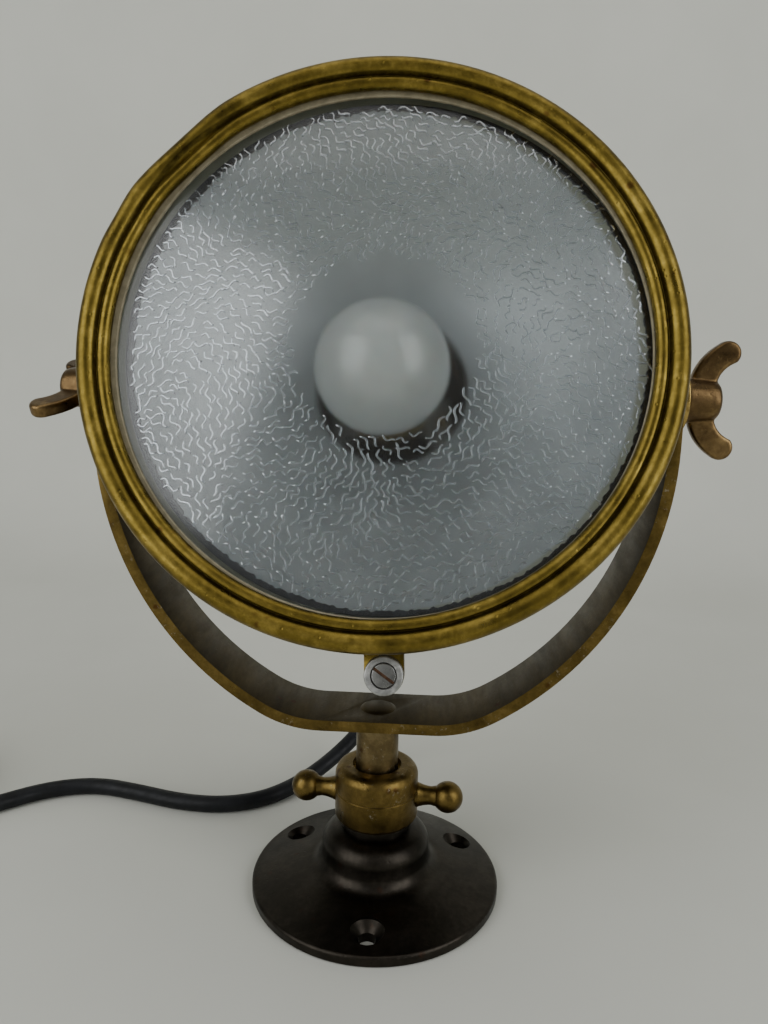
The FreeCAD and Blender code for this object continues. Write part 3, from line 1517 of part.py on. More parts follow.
def coil_shape(turns):
    """Radius and height of the coil and their slopes per radian, after some turns."""
    slope = COIL_STEP / (2 * math.pi)
    inner = COIL_RADIUS - COIL_STEP * COIL_TURNS_IN
    height = CORD_RADIUS
    if turns <= COIL_TURNS_IN:
        return COIL_RADIUS - COIL_STEP * turns, height, -slope, 0.0
    if turns >= COIL_TURNS_IN + COIL_CLIMB:
        out = turns - COIL_TURNS_IN - COIL_CLIMB
        return inner + COIL_STEP * out, height + COIL_LAYER, slope, 0.0
    full = 2 * math.pi * COIL_CLIMB
    done = 2 * math.pi * (turns - COIL_TURNS_IN)
    radius = inner + slope * (done ** 2 / full - done)
    wave = 2 * math.pi * done / full
    climb = COIL_LAYER * (done / full - math.sin(wave) / (2 * math.pi))
    return radius, height + climb, slope * (2 * done / full - 1), COIL_LAYER / full * (1 - math.cos(wave))


def coil_start():
    """Centre of the coil and the angle of its first point."""
    last, way = coil_entry()
    slope = COIL_STEP / (2 * math.pi)
    lead = math.atan2(slope, COIL_RADIUS)
    heading = math.atan2(way.y, way.x)
    angle = heading + lead + math.pi / 2
    first = last + way * COIL_END_STRAIGHT
    return first - Vector(math.cos(angle), math.sin(angle), 0) * COIL_RADIUS, angle


def coil_state(turns):
    """Point and way of the coil, clockwise seen from above."""
    centre, start = coil_start()
    radius, height, radius_slope, height_slope = coil_shape(turns)
    angle = start - 2 * math.pi * turns
    outward = Vector(math.cos(angle), math.sin(angle), 0)
    onward = Vector(math.sin(angle), -math.cos(angle), 0)
    point = Vector(centre.x, centre.y, 0) + outward * radius + Z_AXIS * height
    way = outward * radius_slope + onward * radius + Z_AXIS * height_slope
    return point, unit(way)


def coil_turns():
    return 2 * COIL_TURNS_IN + COIL_CLIMB


def coil_end():
    point, way = coil_state(coil_turns())
    return point + way * COIL_END_STRAIGHT, way


def cord_coil():
    """Two flat layers of turns, spiralling in below and out above."""
    stops = [index / 4 for index in range(round(4 * coil_turns()) + 1)]
    edges = [Part.LineSegment(coil_entry()[0], coil_state(0)[0]).toShape()]
    edges += wound_edges(coil_state, stops)
    edges.append(Part.LineSegment(coil_state(coil_turns())[0], coil_end()[0]).toShape())
    solid = tube(edges, CORD_RADIUS)
    length = sum(edge.Length for edge in edges)
    share = solid.Volume / (math.pi * CORD_RADIUS ** 2 * length)
    steps_per_turn = 60
    count = round(steps_per_turn * coil_turns())
    points = [coil_state(index / steps_per_turn)[0] for index in range(count + 1)]
    gap = least_gap(points, steps_per_turn // 2, 2 * CORD_RADIUS)
    print(f"cord_coil: length {length:.1f}, volume share {share:.4f}, least gap to itself {gap:.2f}")
    return solid


def turned_way(way, degrees):
    angle = math.radians(degrees)
    return Vector(
        way.x * math.cos(angle) - way.y * math.sin(angle),
        way.x * math.sin(angle) + way.y * math.cos(angle),
        0,
    )


def tail_points():
    """Short free stretch from the coil's end down to the plug's axis."""
    start, way = coil_end()
    first = start + way * TAIL_RUNS[0]
    second = first + turned_way(way, TAIL_TURN) * TAIL_RUNS[1]
    second.z = PLUG_AXIS_HEIGHT
    last = second + turned_way(way, 2 * TAIL_TURN) * TAIL_RUNS[2]
    return [start, first, second, last]


def cord_tail():
    return route_tube("cord_tail", tail_points(), CORD_RADIUS)


def place_plug(shape):
    """From the plug's own frame, along +X from the cord's end, to the table."""
    points = tail_points()
    way = points[-1] - points[-2]
    placed = shape.copy()
    placed.rotate(ORIGIN, Z_AXIS, math.degrees(math.atan2(way.y, way.x)))
    placed.translate(points[-1])
    return placed


def plug_face():
    return PLUG_GRIP_LENGTH + PLUG_LENGTH


def plug_pin_bodies(radius, start, end):
    return [along_pivot(radius, start, end, side * PLUG_PIN_SPACING / 2, 0) for side in (1, -1)]


def plug_body():
    """Plug lying on its broad side, with a tapered grip for the cord."""
    height = 2 * PLUG_AXIS_HEIGHT
    body = Part.makeBox(PLUG_LENGTH, PLUG_WIDTH, height, Vector(PLUG_GRIP_LENGTH, -PLUG_WIDTH / 2, -height / 2))
    long_edges = [edge for edge in body.Edges if edge.BoundBox.XLength > PLUG_LENGTH - 1]
    body = body.makeFillet(PLUG_ROUND, long_edges)
    grip = Part.makeCone(PLUG_GRIP_START, PLUG_GRIP_END, PLUG_GRIP_LENGTH + 1, ORIGIN, X_AXIS)
    body = body.fuse(grip)
    for pin in plug_pin_bodies(PLUG_PIN_RADIUS, plug_face() - PLUG_PIN_ROOT, plug_face() + 1):
        body = body.cut(pin)
    seat = PLUG_AXIS_HEIGHT - PLUG_SCREW_DEPTH
    recess = upright(PLUG_SCREW_RADIUS + SLIP, seat, PLUG_AXIS_HEIGHT + 1, PLUG_GRIP_LENGTH + PLUG_LENGTH / 2)
    return body.cut(recess).removeSplitter()


def plug_pins():
    ends = plug_face() + PLUG_PIN_LENGTH
    return Part.makeCompound(plug_pin_bodies(PLUG_PIN_RADIUS, plug_face() - PLUG_PIN_ROOT, ends))


def plug_screw():
    """Slotted screw that holds the plug's halves."""
    seat = PLUG_AXIS_HEIGHT - PLUG_SCREW_DEPTH
    top = PLUG_AXIS_HEIGHT - SLIP
    x = PLUG_GRIP_LENGTH + PLUG_LENGTH / 2
    screw = upright(PLUG_SCREW_RADIUS, seat, top, x)
    slot = Part.makeBox(
        2 * PLUG_SCREW_RADIUS + 2, SLOT_WIDTH, SLOT_DEPTH + 1,
        Vector(x - PLUG_SCREW_RADIUS - 1, -SLOT_WIDTH / 2, top - SLOT_DEPTH),
    )
    return screw.cut(slot)


def export(name, shape):
    """Write one node and report a shape that isn't sound."""
    if not shape.isValid() or shape.Volume <= 0:
        print(f"unsound shape: {name}, volume {shape.Volume:.1f}")
    shape.exportStep(f"parts/{name}.step")


def main():
    os.makedirs("parts", exist_ok=True)

    standing = {
        "base_flange": base_flange(),
        "post_collet": post_collet(),
        "clamp_ring": clamp_ring(),
        "clamp_nut": clamp_nut(),
        "clamp_arms": clamp_arms(),
        "post": post(),
        "post_stop_washer": post_stop_washer(),
        "post_stop_screw": post_stop_screw(),
        "yoke_strap": yoke_strap(),
        "pivot_washer_right": pivot_washer(),
        "pivot_washer_left": mirrored_in_x(pivot_washer()),
        "wing_nut_right": wing_nut_right(),
        "wing_nut_left": wing_nut_left(),
        "cord_upper": cord_upper(),
        "cord_lower": cord_lower(),
        "cord_coil": cord_coil(),
        "cord_tail": cord_tail(),
        "plug_body": place_plug(plug_body()),
        "plug_pins": place_plug(plug_pins()),
        "plug_screw": place_plug(plug_screw()),
    }
    in_head_frame = {
        "housing_shell": housing_shell(),
        "pivot_bosses": pivot_bosses(),
        "pivot_studs": pivot_studs(),
        "friction_discs": friction_discs(),
        "reflector": reflector(),
        "bulb_glass": bulb_glass(),
        "bulb_cap": bulb_cap(),
        "bulb_stem": bulb_stem(),
        "filament": filament(),
        "lampholder_shell": lampholder_shell(),
        "lampholder_ring": lampholder_ring(),
        "lampholder_core": lampholder_core(),
        "lampholder_plungers": lampholder_plungers(),
        "holder_bracket": holder_bracket(),
        "bracket_screws": bracket_screws(),
        "terminal_block": terminal_block(),
        "terminal_screws": terminal_screws(),
        "inner_wires": inner_wires(),
        "gland_body": gland_body(),
        "gland_nut": gland_nut(),
        "strain_relief": strain_relief(),
        "key_housing": key_housing(),
        "key_insulator": key_insulator(),
        "key_contacts": key_contacts(),
        "key_spring": key_spring(),
        "key_button": key_button(),
        "key_bridge": key_bridge(),
    }
    in_rim_frame = {
        "body_ring": body_ring(),
        "hinge_pin": hinge_pin(),
        "front_rim": front_rim(),
        "lens_glass": lens_glass(),
        "lens_gasket": lens_gasket(),
        "lens_seal": lens_seal(),
        "lens_ring": lens_ring(),
        "cup_washer": cup_washer(),
        "rim_screw": rim_screw(),
    }

    for name, shape in standing.items():
        export(name, shape)
    for name, shape in in_head_frame.items():
        export(name, place_head(shape))
    for name, shape in in_rim_frame.items():
        export(name, place_rim(shape))


main()
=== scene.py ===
"""Signal lamp on a round base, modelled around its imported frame.

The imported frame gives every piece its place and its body. The classes below model the seen pieces afresh
in that frame and finish the rest. Their sizes are in millimetres, and the meshes are in metres.
"""

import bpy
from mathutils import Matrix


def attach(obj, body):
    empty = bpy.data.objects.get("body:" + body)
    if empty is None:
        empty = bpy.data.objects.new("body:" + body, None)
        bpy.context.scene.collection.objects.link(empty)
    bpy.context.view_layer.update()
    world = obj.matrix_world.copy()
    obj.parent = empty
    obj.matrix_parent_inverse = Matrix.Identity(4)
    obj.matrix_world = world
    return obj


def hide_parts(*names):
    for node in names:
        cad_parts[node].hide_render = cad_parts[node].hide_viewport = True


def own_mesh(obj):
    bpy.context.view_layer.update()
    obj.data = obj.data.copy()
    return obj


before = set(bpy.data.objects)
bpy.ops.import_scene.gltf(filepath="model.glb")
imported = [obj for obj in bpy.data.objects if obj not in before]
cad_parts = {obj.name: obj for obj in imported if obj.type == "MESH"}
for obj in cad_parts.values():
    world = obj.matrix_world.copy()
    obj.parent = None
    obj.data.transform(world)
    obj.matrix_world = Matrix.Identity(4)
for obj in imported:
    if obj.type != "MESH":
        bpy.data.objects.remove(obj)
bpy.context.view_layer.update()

import logging
import math
import random
from dataclasses import dataclass, replace
from enum import Enum
from typing import Any, Callable, Sequence

import bpy
from mathutils import Matrix, Vector

LOG = logging.getLogger("lamp")

Piece = bpy.types.Object
Point = tuple[float, float]
Triple = tuple[float, float, float]
Colour = tuple[float, float, float]
Stops = Sequence[tuple[float, Colour]]

MM = 0.001
PIVOT_HEIGHT = 188.5
REST_TILT = 16.5
HEAD_FORWARD = 1.3
HEAD_RAISE = 4.2
RIM_CLOCKING = -2.85
DISH_RADIUS = 79.9
GLASS_INDEX = 1.5

HEAD_PLACE = (
    Matrix.Translation((0, 0, PIVOT_HEIGHT * MM))
    @ Matrix.Rotation(math.radians(-REST_TILT), 4, "X")
    @ Matrix.Translation((0, -HEAD_FORWARD * MM, HEAD_RAISE * MM))
)
RIM_PLACE = HEAD_PLACE @ Matrix.Rotation(math.radians(RIM_CLOCKING), 4, "Y")
LAMP_PLACE = Matrix.Identity(4)


class Axis(Enum):
    """Axes that turned pieces are spun about, in the frame of the piece's group."""

    OPTICAL = (0.0, -1.0, 0.0)
    UPRIGHT = (0.0, 0.0, 1.0)
    PIVOT = (1.0, 0.0, 0.0)

    @property
    def way(self) -> Vector:
        """Unit vector along the axis."""
        return Vector(self.value)

    def point(self, radius: float, along: float) -> Vector:
        """Point in metres at a radius from the axis and a distance along it, both in millimetres."""
        side = Vector((0, 0, 1)) if self is Axis.PIVOT else Vector((1, 0, 0))
        return (self.way * along + side * radius) * MM


def arc(centre: Point, radius: float, start: float, end: float, steps: int) -> list[Point]:
    """Points on an arc of an outline.

    Args:
        centre: Centre as (radius, along).
        radius: Radius of the arc.
        start: Angle of the first point in degrees, from the outward direction towards the forward one.
        end: Angle of the last point in degrees.
        steps: Number of chords.

    Returns:
        The points, first and last included.
    """
    angles = [math.radians(start + (end - start) * index / steps) for index in range(steps + 1)]
    return [(centre[0] + radius * math.cos(a), centre[1] + radius * math.sin(a)) for a in angles]


def curve_between(function: Callable[[float], float], start: float, end: float, steps: int) -> list[Point]:
    """Points (radius, function of radius) from one radius to another."""
    radii = [start + (end - start) * index / steps for index in range(steps + 1)]
    return [(radius, function(radius)) for radius in radii]


class Bench:
    """Modelling by operators, one piece at a time, with nothing else selected."""

    DOUBLES = 0.001 * MM
    ROD_STEPS = 48

    @staticmethod
    def clear() -> None:
        """Leave edit mode and deselect everything."""
        if bpy.context.mode != "OBJECT":
            bpy.ops.object.mode_set(mode="OBJECT")
        bpy.ops.object.select_all(action="DESELECT")

    @staticmethod
    def pick(*pieces: Piece) -> None:
        """Select these pieces alone, the first one active."""
        Bench.clear()
        for piece in pieces:
            piece.select_set(True)
        bpy.context.view_layer.objects.active = pieces[0]

    @staticmethod
    def edit(piece: Piece) -> None:
        """Open a piece in edit mode with all of it selected."""
        Bench.pick(piece)
        bpy.ops.object.mode_set(mode="EDIT")
        bpy.ops.mesh.select_all(action="SELECT")

    @staticmethod
    def named(name: str) -> Piece:
        """Give the active object and its data a name."""
        piece = bpy.context.object
        piece.name = name
        piece.data.name = name
        return piece

    @staticmethod
    def chain(name: str, points: Sequence[Vector]) -> Piece:
        """Draw edges through points by extruding one vertex, and stay in edit mode."""
        Bench.clear()
        bpy.ops.mesh.primitive_plane_add(size=MM)
        piece = Bench.named(name)
        Bench.edit(piece)
        bpy.ops.mesh.merge(type="CENTER")
        bpy.ops.transform.translate(value=points[0])
        for before, after in zip(points, points[1:]):
            bpy.ops.mesh.extrude_vertices_move(TRANSFORM_OT_translate={"value": after - before})
        return piece

    @staticmethod
    def tidy(piece: Piece, sharp: float = 35.0) -> Piece:
        """Merge doubles, point the faces outwards and smooth all but the sharp edges.

        Args:
            piece: The mesh piece.
            sharp: Angle in degrees from which an edge stays sharp.

        Returns:
            The piece.
        """
        Bench.edit(piece)
        bpy.ops.mesh.remove_doubles(threshold=Bench.DOUBLES)
        bpy.ops.mesh.normals_make_consistent(inside=False)
        return Bench.smooth(piece, sharp)

    @staticmethod
    def smooth(piece: Piece, sharp: float = 35.0) -> Piece:
        """Smooth the shading of a piece except at edges sharper than an angle in degrees."""
        Bench.pick(piece)
        bpy.ops.object.shade_smooth_by_angle(angle=math.radians(sharp))
        return piece

    @staticmethod
    def lathe(name: str, outline: Sequence[Point], axis: Axis, steps: int = 96) -> Piece:
        """Spin an outline into a closed solid.

        Args:
            name: Name of the piece.
            outline: Points as (radius, along) in order. Both ends on the axis leave it open there.
            axis: The axis it is spun about.
            steps: Number of steps round.

        Returns:
            The piece, in its group's frame.
        """
        points = [axis.point(*point) for point in outline]
        if outline[0][0] or outline[-1][0]:
            points.append(points[0])
        piece = Bench.chain(name, points)
        bpy.ops.mesh.select_all(action="SELECT")
        bpy.ops.mesh.spin(steps=steps, angle=math.tau, center=(0, 0, 0), axis=axis.way)
        return Bench.tidy(piece)

    @staticmethod
    def block(name: str, low: Sequence[float], high: Sequence[float]) -> Piece:
        """Box between two corners in millimetres, as a start for a piece or a cutter."""
        Bench.clear()
        bpy.ops.mesh.primitive_cube_add(size=1)
        piece = Bench.named(name)
        Bench.edit(piece)
        sizes = [(b - a) * MM for a, b in zip(low, high)]
        bpy.ops.transform.resize(value=sizes)
        bpy.ops.transform.translate(value=[(a + b) / 2 * MM for a, b in zip(low, high)])
        Bench.clear()
        return piece

    @staticmethod
    def rod(name: str, radius: float, axis: Axis, start: float, end: float, at: Vector) -> Piece:
        """Cylinder along an axis, through a point in millimetres."""
        outline = [(0, start), (radius, start), (radius, end), (0, end)]
        piece = Bench.lathe(name, outline, axis, Bench.ROD_STEPS)
        piece.data.transform(Matrix.Translation(at * MM))
        return piece

    @staticmethod
    def modify(piece: Piece, kind: str, **settings: Any) -> Piece:
        """Add a modifier to a piece and apply it."""
        Bench.pick(piece)
        modifier = piece.modifiers.new(kind.lower(), kind)
        for key, value in settings.items():
            setattr(modifier, key, value)
        bpy.ops.object.modifier_apply(modifier=modifier.name)
        return piece

    @staticmethod
    def ease(piece: Piece, width: float, segments: int = 2, angle: float = 35.0) -> Piece:
        """Round the edges of a piece that are sharper than an angle, by a width in millimetres."""
        Bench.modify(
            piece,
            "BEVEL",
            width=width * MM,
            segments=segments,
            limit_method="ANGLE",
            angle_limit=math.radians(angle),
            use_clamp_overlap=True,
            harden_normals=False,
        )
        return Bench.smooth(piece)

    @staticmethod
    def combine(piece: Piece, tool: Piece, way: str = "DIFFERENCE") -> Piece:
        """Cut a tool out of a piece, or unite them, and remove the tool."""
        Bench.modify(piece, "BOOLEAN", object=tool, operation=way, solver="EXACT")
        bpy.data.objects.remove(tool, do_unlink=True)
        return piece

    @staticmethod
    def copy(piece: Piece, name: str, place: Matrix) -> Piece:
        """Copy of a piece with its own mesh, moved by a matrix in metres."""
        made = piece.copy()
        made.data = piece.data.copy()
        made.name = made.data.name = name
        bpy.context.scene.collection.objects.link(made)
        made.data.transform(place)
        return made

    @staticmethod
    def smoothed(node: str, name: str, sharp: float = 32.0) -> Piece:
        """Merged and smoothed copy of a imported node's mesh.

        Args:
            node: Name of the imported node.
            name: Name of the copy.
            sharp: Angle in degrees from which an edge stays sharp.

        Returns:
            The copy, which still has to replace the node.
        """
        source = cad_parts[node]
        made = bpy.data.objects.new(name, source.data.copy())
        made.data.name = name
        made.data.materials.clear()
        bpy.context.scene.collection.objects.link(made)
        Bench.edit(made)
        bpy.ops.mesh.customdata_custom_splitnormals_clear()
        bpy.ops.mesh.remove_doubles(threshold=Bench.DOUBLES)
        return Bench.smooth(made, sharp)


class Graph:
    """Shader nodes of one material, added and joined by short calls.

    The mix node has several sockets of one name, so its colour sockets are known by their places.
    """

    MIX_SHARE = 0
    MIX_FIRST = 6
    MIX_SECOND = 7
    MIX_RESULT = 2

    def __init__(self, name: str) -> None:
        """Start a material with one Principled shader."""
        self.material = bpy.data.materials.new(name)
        self.material.use_nodes = True
        self.tree = self.material.node_tree
        self.tree.nodes.clear()
        output = self.add("ShaderNodeOutputMaterial")
        self.shader = self.add("ShaderNodeBsdfPrincipled")
        self.join(self.shader.outputs["BSDF"], output.inputs["Surface"])
        self.place = self.add("ShaderNodeTexCoord").outputs["Object"]

    def add(self, kind: str, **settings: Any) -> bpy.types.Node:
        """Add a node and set its properties."""
        node = self.tree.nodes.new(kind)
        for key, value in settings.items():
            setattr(node, key, value)
        return node

    def join(self, source: Any, target: Any) -> None:
        """Link an output to an input, or set the input's value."""
        if isinstance(source, bpy.types.NodeSocket):
            self.tree.links.new(source, target)
        else:
            target.default_value = source

    def set(self, **values: Any) -> None:
        """Set or link sockets of the shader; an underscore in a key stands for a space."""
        for key, value in values.items():
            self.join(value, self.shader.inputs[key.replace("_", " ")])

    def stretched(self, stretch: Sequence[float], place: Matrix = LAMP_PLACE) -> Any:
        """Coordinates seen from a group's frame, stretched along its axes."""
        turned = self.add("ShaderNodeMapping")
        away = place.inverted()
        self.join(self.place, turned.inputs["Vector"])
        turned.inputs["Rotation"].default_value = away.to_euler()
        turned.inputs["Location"].default_value = away.to_translation()
        scaled = self.add("ShaderNodeMapping")
        self.join(turned.outputs["Vector"], scaled.inputs["Vector"])
        scaled.inputs["Scale"].default_value = stretch
        return scaled.outputs["Vector"]

    def noise(
        self, size: float, detail: float = 4.0, rough: float = 0.55, at: Any = None, twist: float = 0.0
    ) -> Any:
        """Noise whose features are about a size in millimetres."""
        node = self.add("ShaderNodeTexNoise")
        self.join(at or self.place, node.inputs["Vector"])
        node.inputs["Scale"].default_value = 1 / (size * MM)
        node.inputs["Detail"].default_value = detail
        node.inputs["Roughness"].default_value = rough
        node.inputs["Distortion"].default_value = twist
        return node.outputs["Fac"]

    def cells(self, size: float, at: Any = None) -> Any:
        """Distance to scattered points about a size in millimetres apart."""
        node = self.add("ShaderNodeTexVoronoi")
        self.join(at or self.place, node.inputs["Vector"])
        node.inputs["Scale"].default_value = 1 / (size * MM)
        return node.outputs["Distance"]

    def span(self, value: Any, low: float, high: float, to_low: float = 0.0, to_high: float = 1.0) -> Any:
        """Map a value from one span to another, smoothly and clamped."""
        node = self.add("ShaderNodeMapRange", interpolation_type="SMOOTHSTEP")
        self.join(value, node.inputs["Value"])
        for key, number in zip(("From Min", "From Max", "To Min", "To Max"), (low, high, to_low, to_high)):
            node.inputs[key].default_value = number
        return node.outputs["Result"]

    def maths(self, way: str, first: Any, second: Any) -> Any:
        """Work out two values by an operation such as ADD or MULTIPLY."""
        node = self.add("ShaderNodeMath", operation=way)
        self.join(first, node.inputs[0])
        self.join(second, node.inputs[1])
        return node.outputs[0]

    def ramp(self, value: Any, stops: Stops) -> Any:
        """Colour from a value by stops of (place, colour)."""
        node = self.add("ShaderNodeValToRGB")
        self.join(value, node.inputs["Fac"])
        elements = node.color_ramp.elements
        while len(elements) < len(stops):
            elements.new(1.0)
        for element, (where, colour) in zip(elements, stops):
            element.position = where
            element.color = (*colour, 1.0)
        return node.outputs["Color"]

    def blend(self, share: Any, first: Any, second: Any) -> Any:
        """Mix two colours by the second one's share."""
        node = self.add("ShaderNodeMix", data_type="RGBA", blend_type="MIX")
        self.join(share, node.inputs[self.MIX_SHARE])
        for source, place in ((first, self.MIX_FIRST), (second, self.MIX_SECOND)):
            colour = source if isinstance(source, bpy.types.NodeSocket) else (*source, 1.0)
            self.join(colour, node.inputs[place])
        return node.outputs[self.MIX_RESULT]

    def bumped(self, height: Any, depth: float, below: Any = None) -> Any:
        """Normal bumped by a height that stands for a depth in millimetres."""
        node = self.add("ShaderNodeBump")
        self.join(height, node.inputs["Height"])
        node.inputs["Distance"].default_value = depth * MM
        if below is not None:
            self.join(below, node.inputs["Normal"])
        return node.outputs["Normal"]

    def radius(self, place: Matrix, axis: Axis) -> Any:
        """Distance in metres from the axis of a group's frame."""
        keep = [1.0 - abs(part) for part in axis.value]
        node = self.add("ShaderNodeVectorMath", operation="LENGTH")
        self.join(self.stretched(keep, place), node.inputs[0])
        return node.outputs["Value"]


@dataclass(frozen=True)
class Metal:
    """Aged bare metal: patina in patches, pits, brown spots and fine scratches.

    The patch, the grain and the pit are sizes in millimetres, and so are the two depths. The groove shade is
    painted shade: a dark band round the optical axis, given by its two radii and its share. A pale colour
    other than black leaves chalky traces.
    """

    name: str
    dark: Colour
    middle: Colour
    bright: Colour
    gloss: Point = (0.26, 0.48)
    patch: float = 14.0
    grain: float = 0.7
    grain_depth: float = 0.05
    pit: float = 2.6
    pit_depth: float = 0.12
    spots: Colour = (0.06, 0.02, 0.008)
    spot_share: float = 0.3
    stretch: Triple = (1.0, 1.0, 1.0)
    metallic: float = 1.0
    place: Matrix = LAMP_PLACE
    groove_shade: Triple = (0.0, 0.0, 0.0)
    pale: Colour = (0.0, 0.0, 0.0)

    def material(self) -> bpy.types.Material:
        """Make the material."""
        g = Graph(self.name)
        at = g.stretched(self.stretch, self.place)
        patches = g.noise(self.patch, detail=6, rough=0.6, at=at, twist=0.4)
        fine = g.noise(self.grain * 3, detail=5, rough=0.65, at=at)
        mixed = g.maths("ADD", g.maths("MULTIPLY", patches, 0.68), g.maths("MULTIPLY", fine, 0.32))
        colour = g.ramp(mixed, ((0.3, self.dark), (0.5, self.middle), (0.7, self.bright)))
        specks = g.span(g.cells(self.pit * 2.4), 0.12, 0.26, 1.0, 0.0)
        where = g.span(g.noise(self.patch * 0.6, detail=3), 0.5, 0.62)
        spotted = g.maths("MULTIPLY", g.maths("MULTIPLY", specks, where), self.spot_share * 2.4)
        colour = g.blend(spotted, colour, self.spots)
        # Painted shade: darkens a band round the optical axis, where the rim's groove lies.
        if self.groove_shade[2]:
            across = g.radius(self.place, Axis.OPTICAL)
            low, high, share = self.groove_shade
            half = (high - low) / 2 * MM
            near = g.maths("ABSOLUTE", g.maths("SUBTRACT", across, (low + high) / 2 * MM), 0.0)
            band = g.span(near, half * 0.4, half, share, 0.0)
            ragged = g.span(fine, 0.3, 0.6, 0.65, 1.0)
            painted_groove_shade = g.maths("MULTIPLY", band, ragged)
            colour = g.blend(painted_groove_shade, colour, tuple(part * 0.35 for part in self.dark))
        if max(self.pale) > 0:
            chalk = g.span(g.noise(1.6, detail=6, rough=0.75), 0.56, 0.7)
            colour = g.blend(g.maths("MULTIPLY", chalk, where), colour, self.pale)
        pits = g.span(g.cells(self.pit), 0.0, 0.22, 0.0, 1.0)
        unpitted = g.span(g.noise(self.pit * 3, detail=2), 0.46, 0.56, 1.0, 0.0)
        pits = g.maths("MAXIMUM", pits, unpitted)
        normal = g.bumped(g.noise(self.grain, detail=4, rough=0.6, at=at), self.grain_depth)
        normal = g.bumped(pits, self.pit_depth, normal)
        worn = g.noise(self.patch * 0.5, detail=5, rough=0.7, at=at)
        g.set(
            Base_Color=colour,
            Metallic=self.metallic,
            Roughness=g.span(worn, 0.3, 0.7, *self.gloss),
            Normal=normal,
        )
        return g.material


@dataclass(frozen=True)
class Solid:
    """A moulded or pressed stuff with mottling and a fine grain, sizes in millimetres."""

    name: str
    first: Colour
    second: Colour
    gloss: Point = (0.5, 0.7)
    patch: float = 8.0
    grain: float = 0.5
    grain_depth: float = 0.04
    coat: float = 0.0
    shine: float = 0.5

    def material(self) -> bpy.types.Material:
        """Make the material."""
        g = Graph(self.name)
        patches = g.noise(self.patch, detail=5, rough=0.6)
        colour = g.ramp(patches, ((0.38, self.first), (0.62, self.second)))
        normal = g.bumped(g.noise(self.grain), self.grain_depth)
        g.set(
            Base_Color=colour,
            Roughness=g.span(g.noise(self.patch * 0.4), 0.35, 0.65, *self.gloss),
            Normal=normal,
            Coat_Weight=self.coat,
            Specular_IOR_Level=self.shine,
        )
        return g.material


@dataclass(frozen=True)
class Glass:
    """Clear pressed glass with a faint waviness."""

    name: str
    tint: Colour = (0.93, 0.95, 0.93)
    gloss: float = 0.15
    shine: float = 0.15
    wave: float = 9.0
    wave_depth: float = 0.03

    def material(self) -> bpy.types.Material:
        """Make the material."""
        g = Graph(self.name)
        g.set(
            Base_Color=(*self.tint, 1.0),
            Roughness=self.gloss,
            IOR=GLASS_INDEX,
            Specular_IOR_Level=self.shine,
            Transmission_Weight=1.0,
            Normal=g.bumped(g.noise(self.wave, detail=3), self.wave_depth),
        )
        return g.material


@dataclass(frozen=True)
class Ridged:
    """Glass of the pressed ridges: part clear and part gleaming, so that each one reads as a bright line."""

    name: str
    tint: Colour = (0.76, 0.79, 0.82)
    gleam: float = 0.35
    gloss: float = 0.1

    def material(self) -> bpy.types.Material:
        """Make the material."""
        g = Graph(self.name)
        g.set(
            Base_Color=(*self.tint, 1.0),
            Metallic=self.gleam,
            Roughness=self.gloss,
            IOR=GLASS_INDEX,
            Transmission_Weight=1.0,
        )
        return g.material


@dataclass(frozen=True)
class Opal:
    """Satin opal glass: milky body under a soft gloss, with faint marks."""

    name: str
    body: Colour = (0.68, 0.71, 0.71)
    shade: Colour = (0.6, 0.63, 0.63)
    mark: Colour = (0.75, 0.76, 0.74)
    mark_share: float = 0.35
    gloss: float = 0.3
    coat_gloss: float = 0.07
    milk_share: float = 0.15
    milk_reach: float = 4.0

    def material(self) -> bpy.types.Material:
        """Make the material."""
        g = Graph(self.name)
        colour = g.ramp(g.noise(16, detail=3), ((0.35, self.shade), (0.65, self.body)))
        marks = g.span(g.cells(7.0, g.stretched((1, 1, 0.25), HEAD_PLACE)), 0.02, 0.05, 1.0, 0.0)
        colour = g.blend(g.maths("MULTIPLY", marks, self.mark_share), colour, self.mark)
        g.set(
            Base_Color=colour,
            Roughness=self.gloss,
            Coat_Weight=1.0,
            Coat_Roughness=self.coat_gloss,
            Subsurface_Weight=self.milk_share,
            Subsurface_Scale=self.milk_reach * MM,
            Normal=g.bumped(g.noise(0.6, detail=3), 0.004),
        )
        return g.material


@dataclass(frozen=True)
class Silvering:
    """Satin silvered dish with a dulled flange, spinning lines and brown specks.

    The flange dulls over a band that is given from the dish's radius in millimetres.
    """

    name: str
    clean: Colour = (0.68, 0.71, 0.74)
    hazy: Colour = (0.57, 0.60, 0.63)
    flange: Colour = (0.42, 0.43, 0.35)
    speck: Colour = (0.12, 0.09, 0.06)
    dulling: Point = (-0.7, 0.3)
    gloss: Point = (0.46, 0.53)
    metallic: float = 0.92

    def material(self) -> bpy.types.Material:
        """Make the material."""
        g = Graph(self.name)
        across = g.radius(HEAD_PLACE, Axis.OPTICAL)
        haze = g.noise(22, detail=5, rough=0.6)
        colour = g.ramp(haze, ((0.35, self.hazy), (0.62, self.clean)))
        specks = g.span(g.cells(5.0), 0.03, 0.07, 0.8, 0.0)
        colour = g.blend(g.maths("MULTIPLY", specks, g.span(haze, 0.5, 0.6)), colour, self.speck)
        dull = g.span(across, *((DISH_RADIUS + edge) * MM for edge in self.dulling))
        colour = g.blend(dull, colour, self.flange)
        lines = g.noise(0.5, detail=2, rough=0.5, at=self.ringed(g, across))
        g.set(
            Base_Color=colour,
            Metallic=g.span(dull, 0.0, 1.0, self.metallic, 0.0),
            Roughness=g.maths("ADD", g.span(haze, 0.3, 0.7, *self.gloss), g.maths("MULTIPLY", dull, 0.3)),
            Normal=g.bumped(lines, 0.003),
        )
        return g.material

    @staticmethod
    def ringed(g: Graph, across: Any) -> Any:
        """Coordinates that change with the distance from the axis alone."""
        node = g.add("ShaderNodeCombineXYZ")
        g.join(across, node.inputs["X"])
        return node.outputs["Vector"]


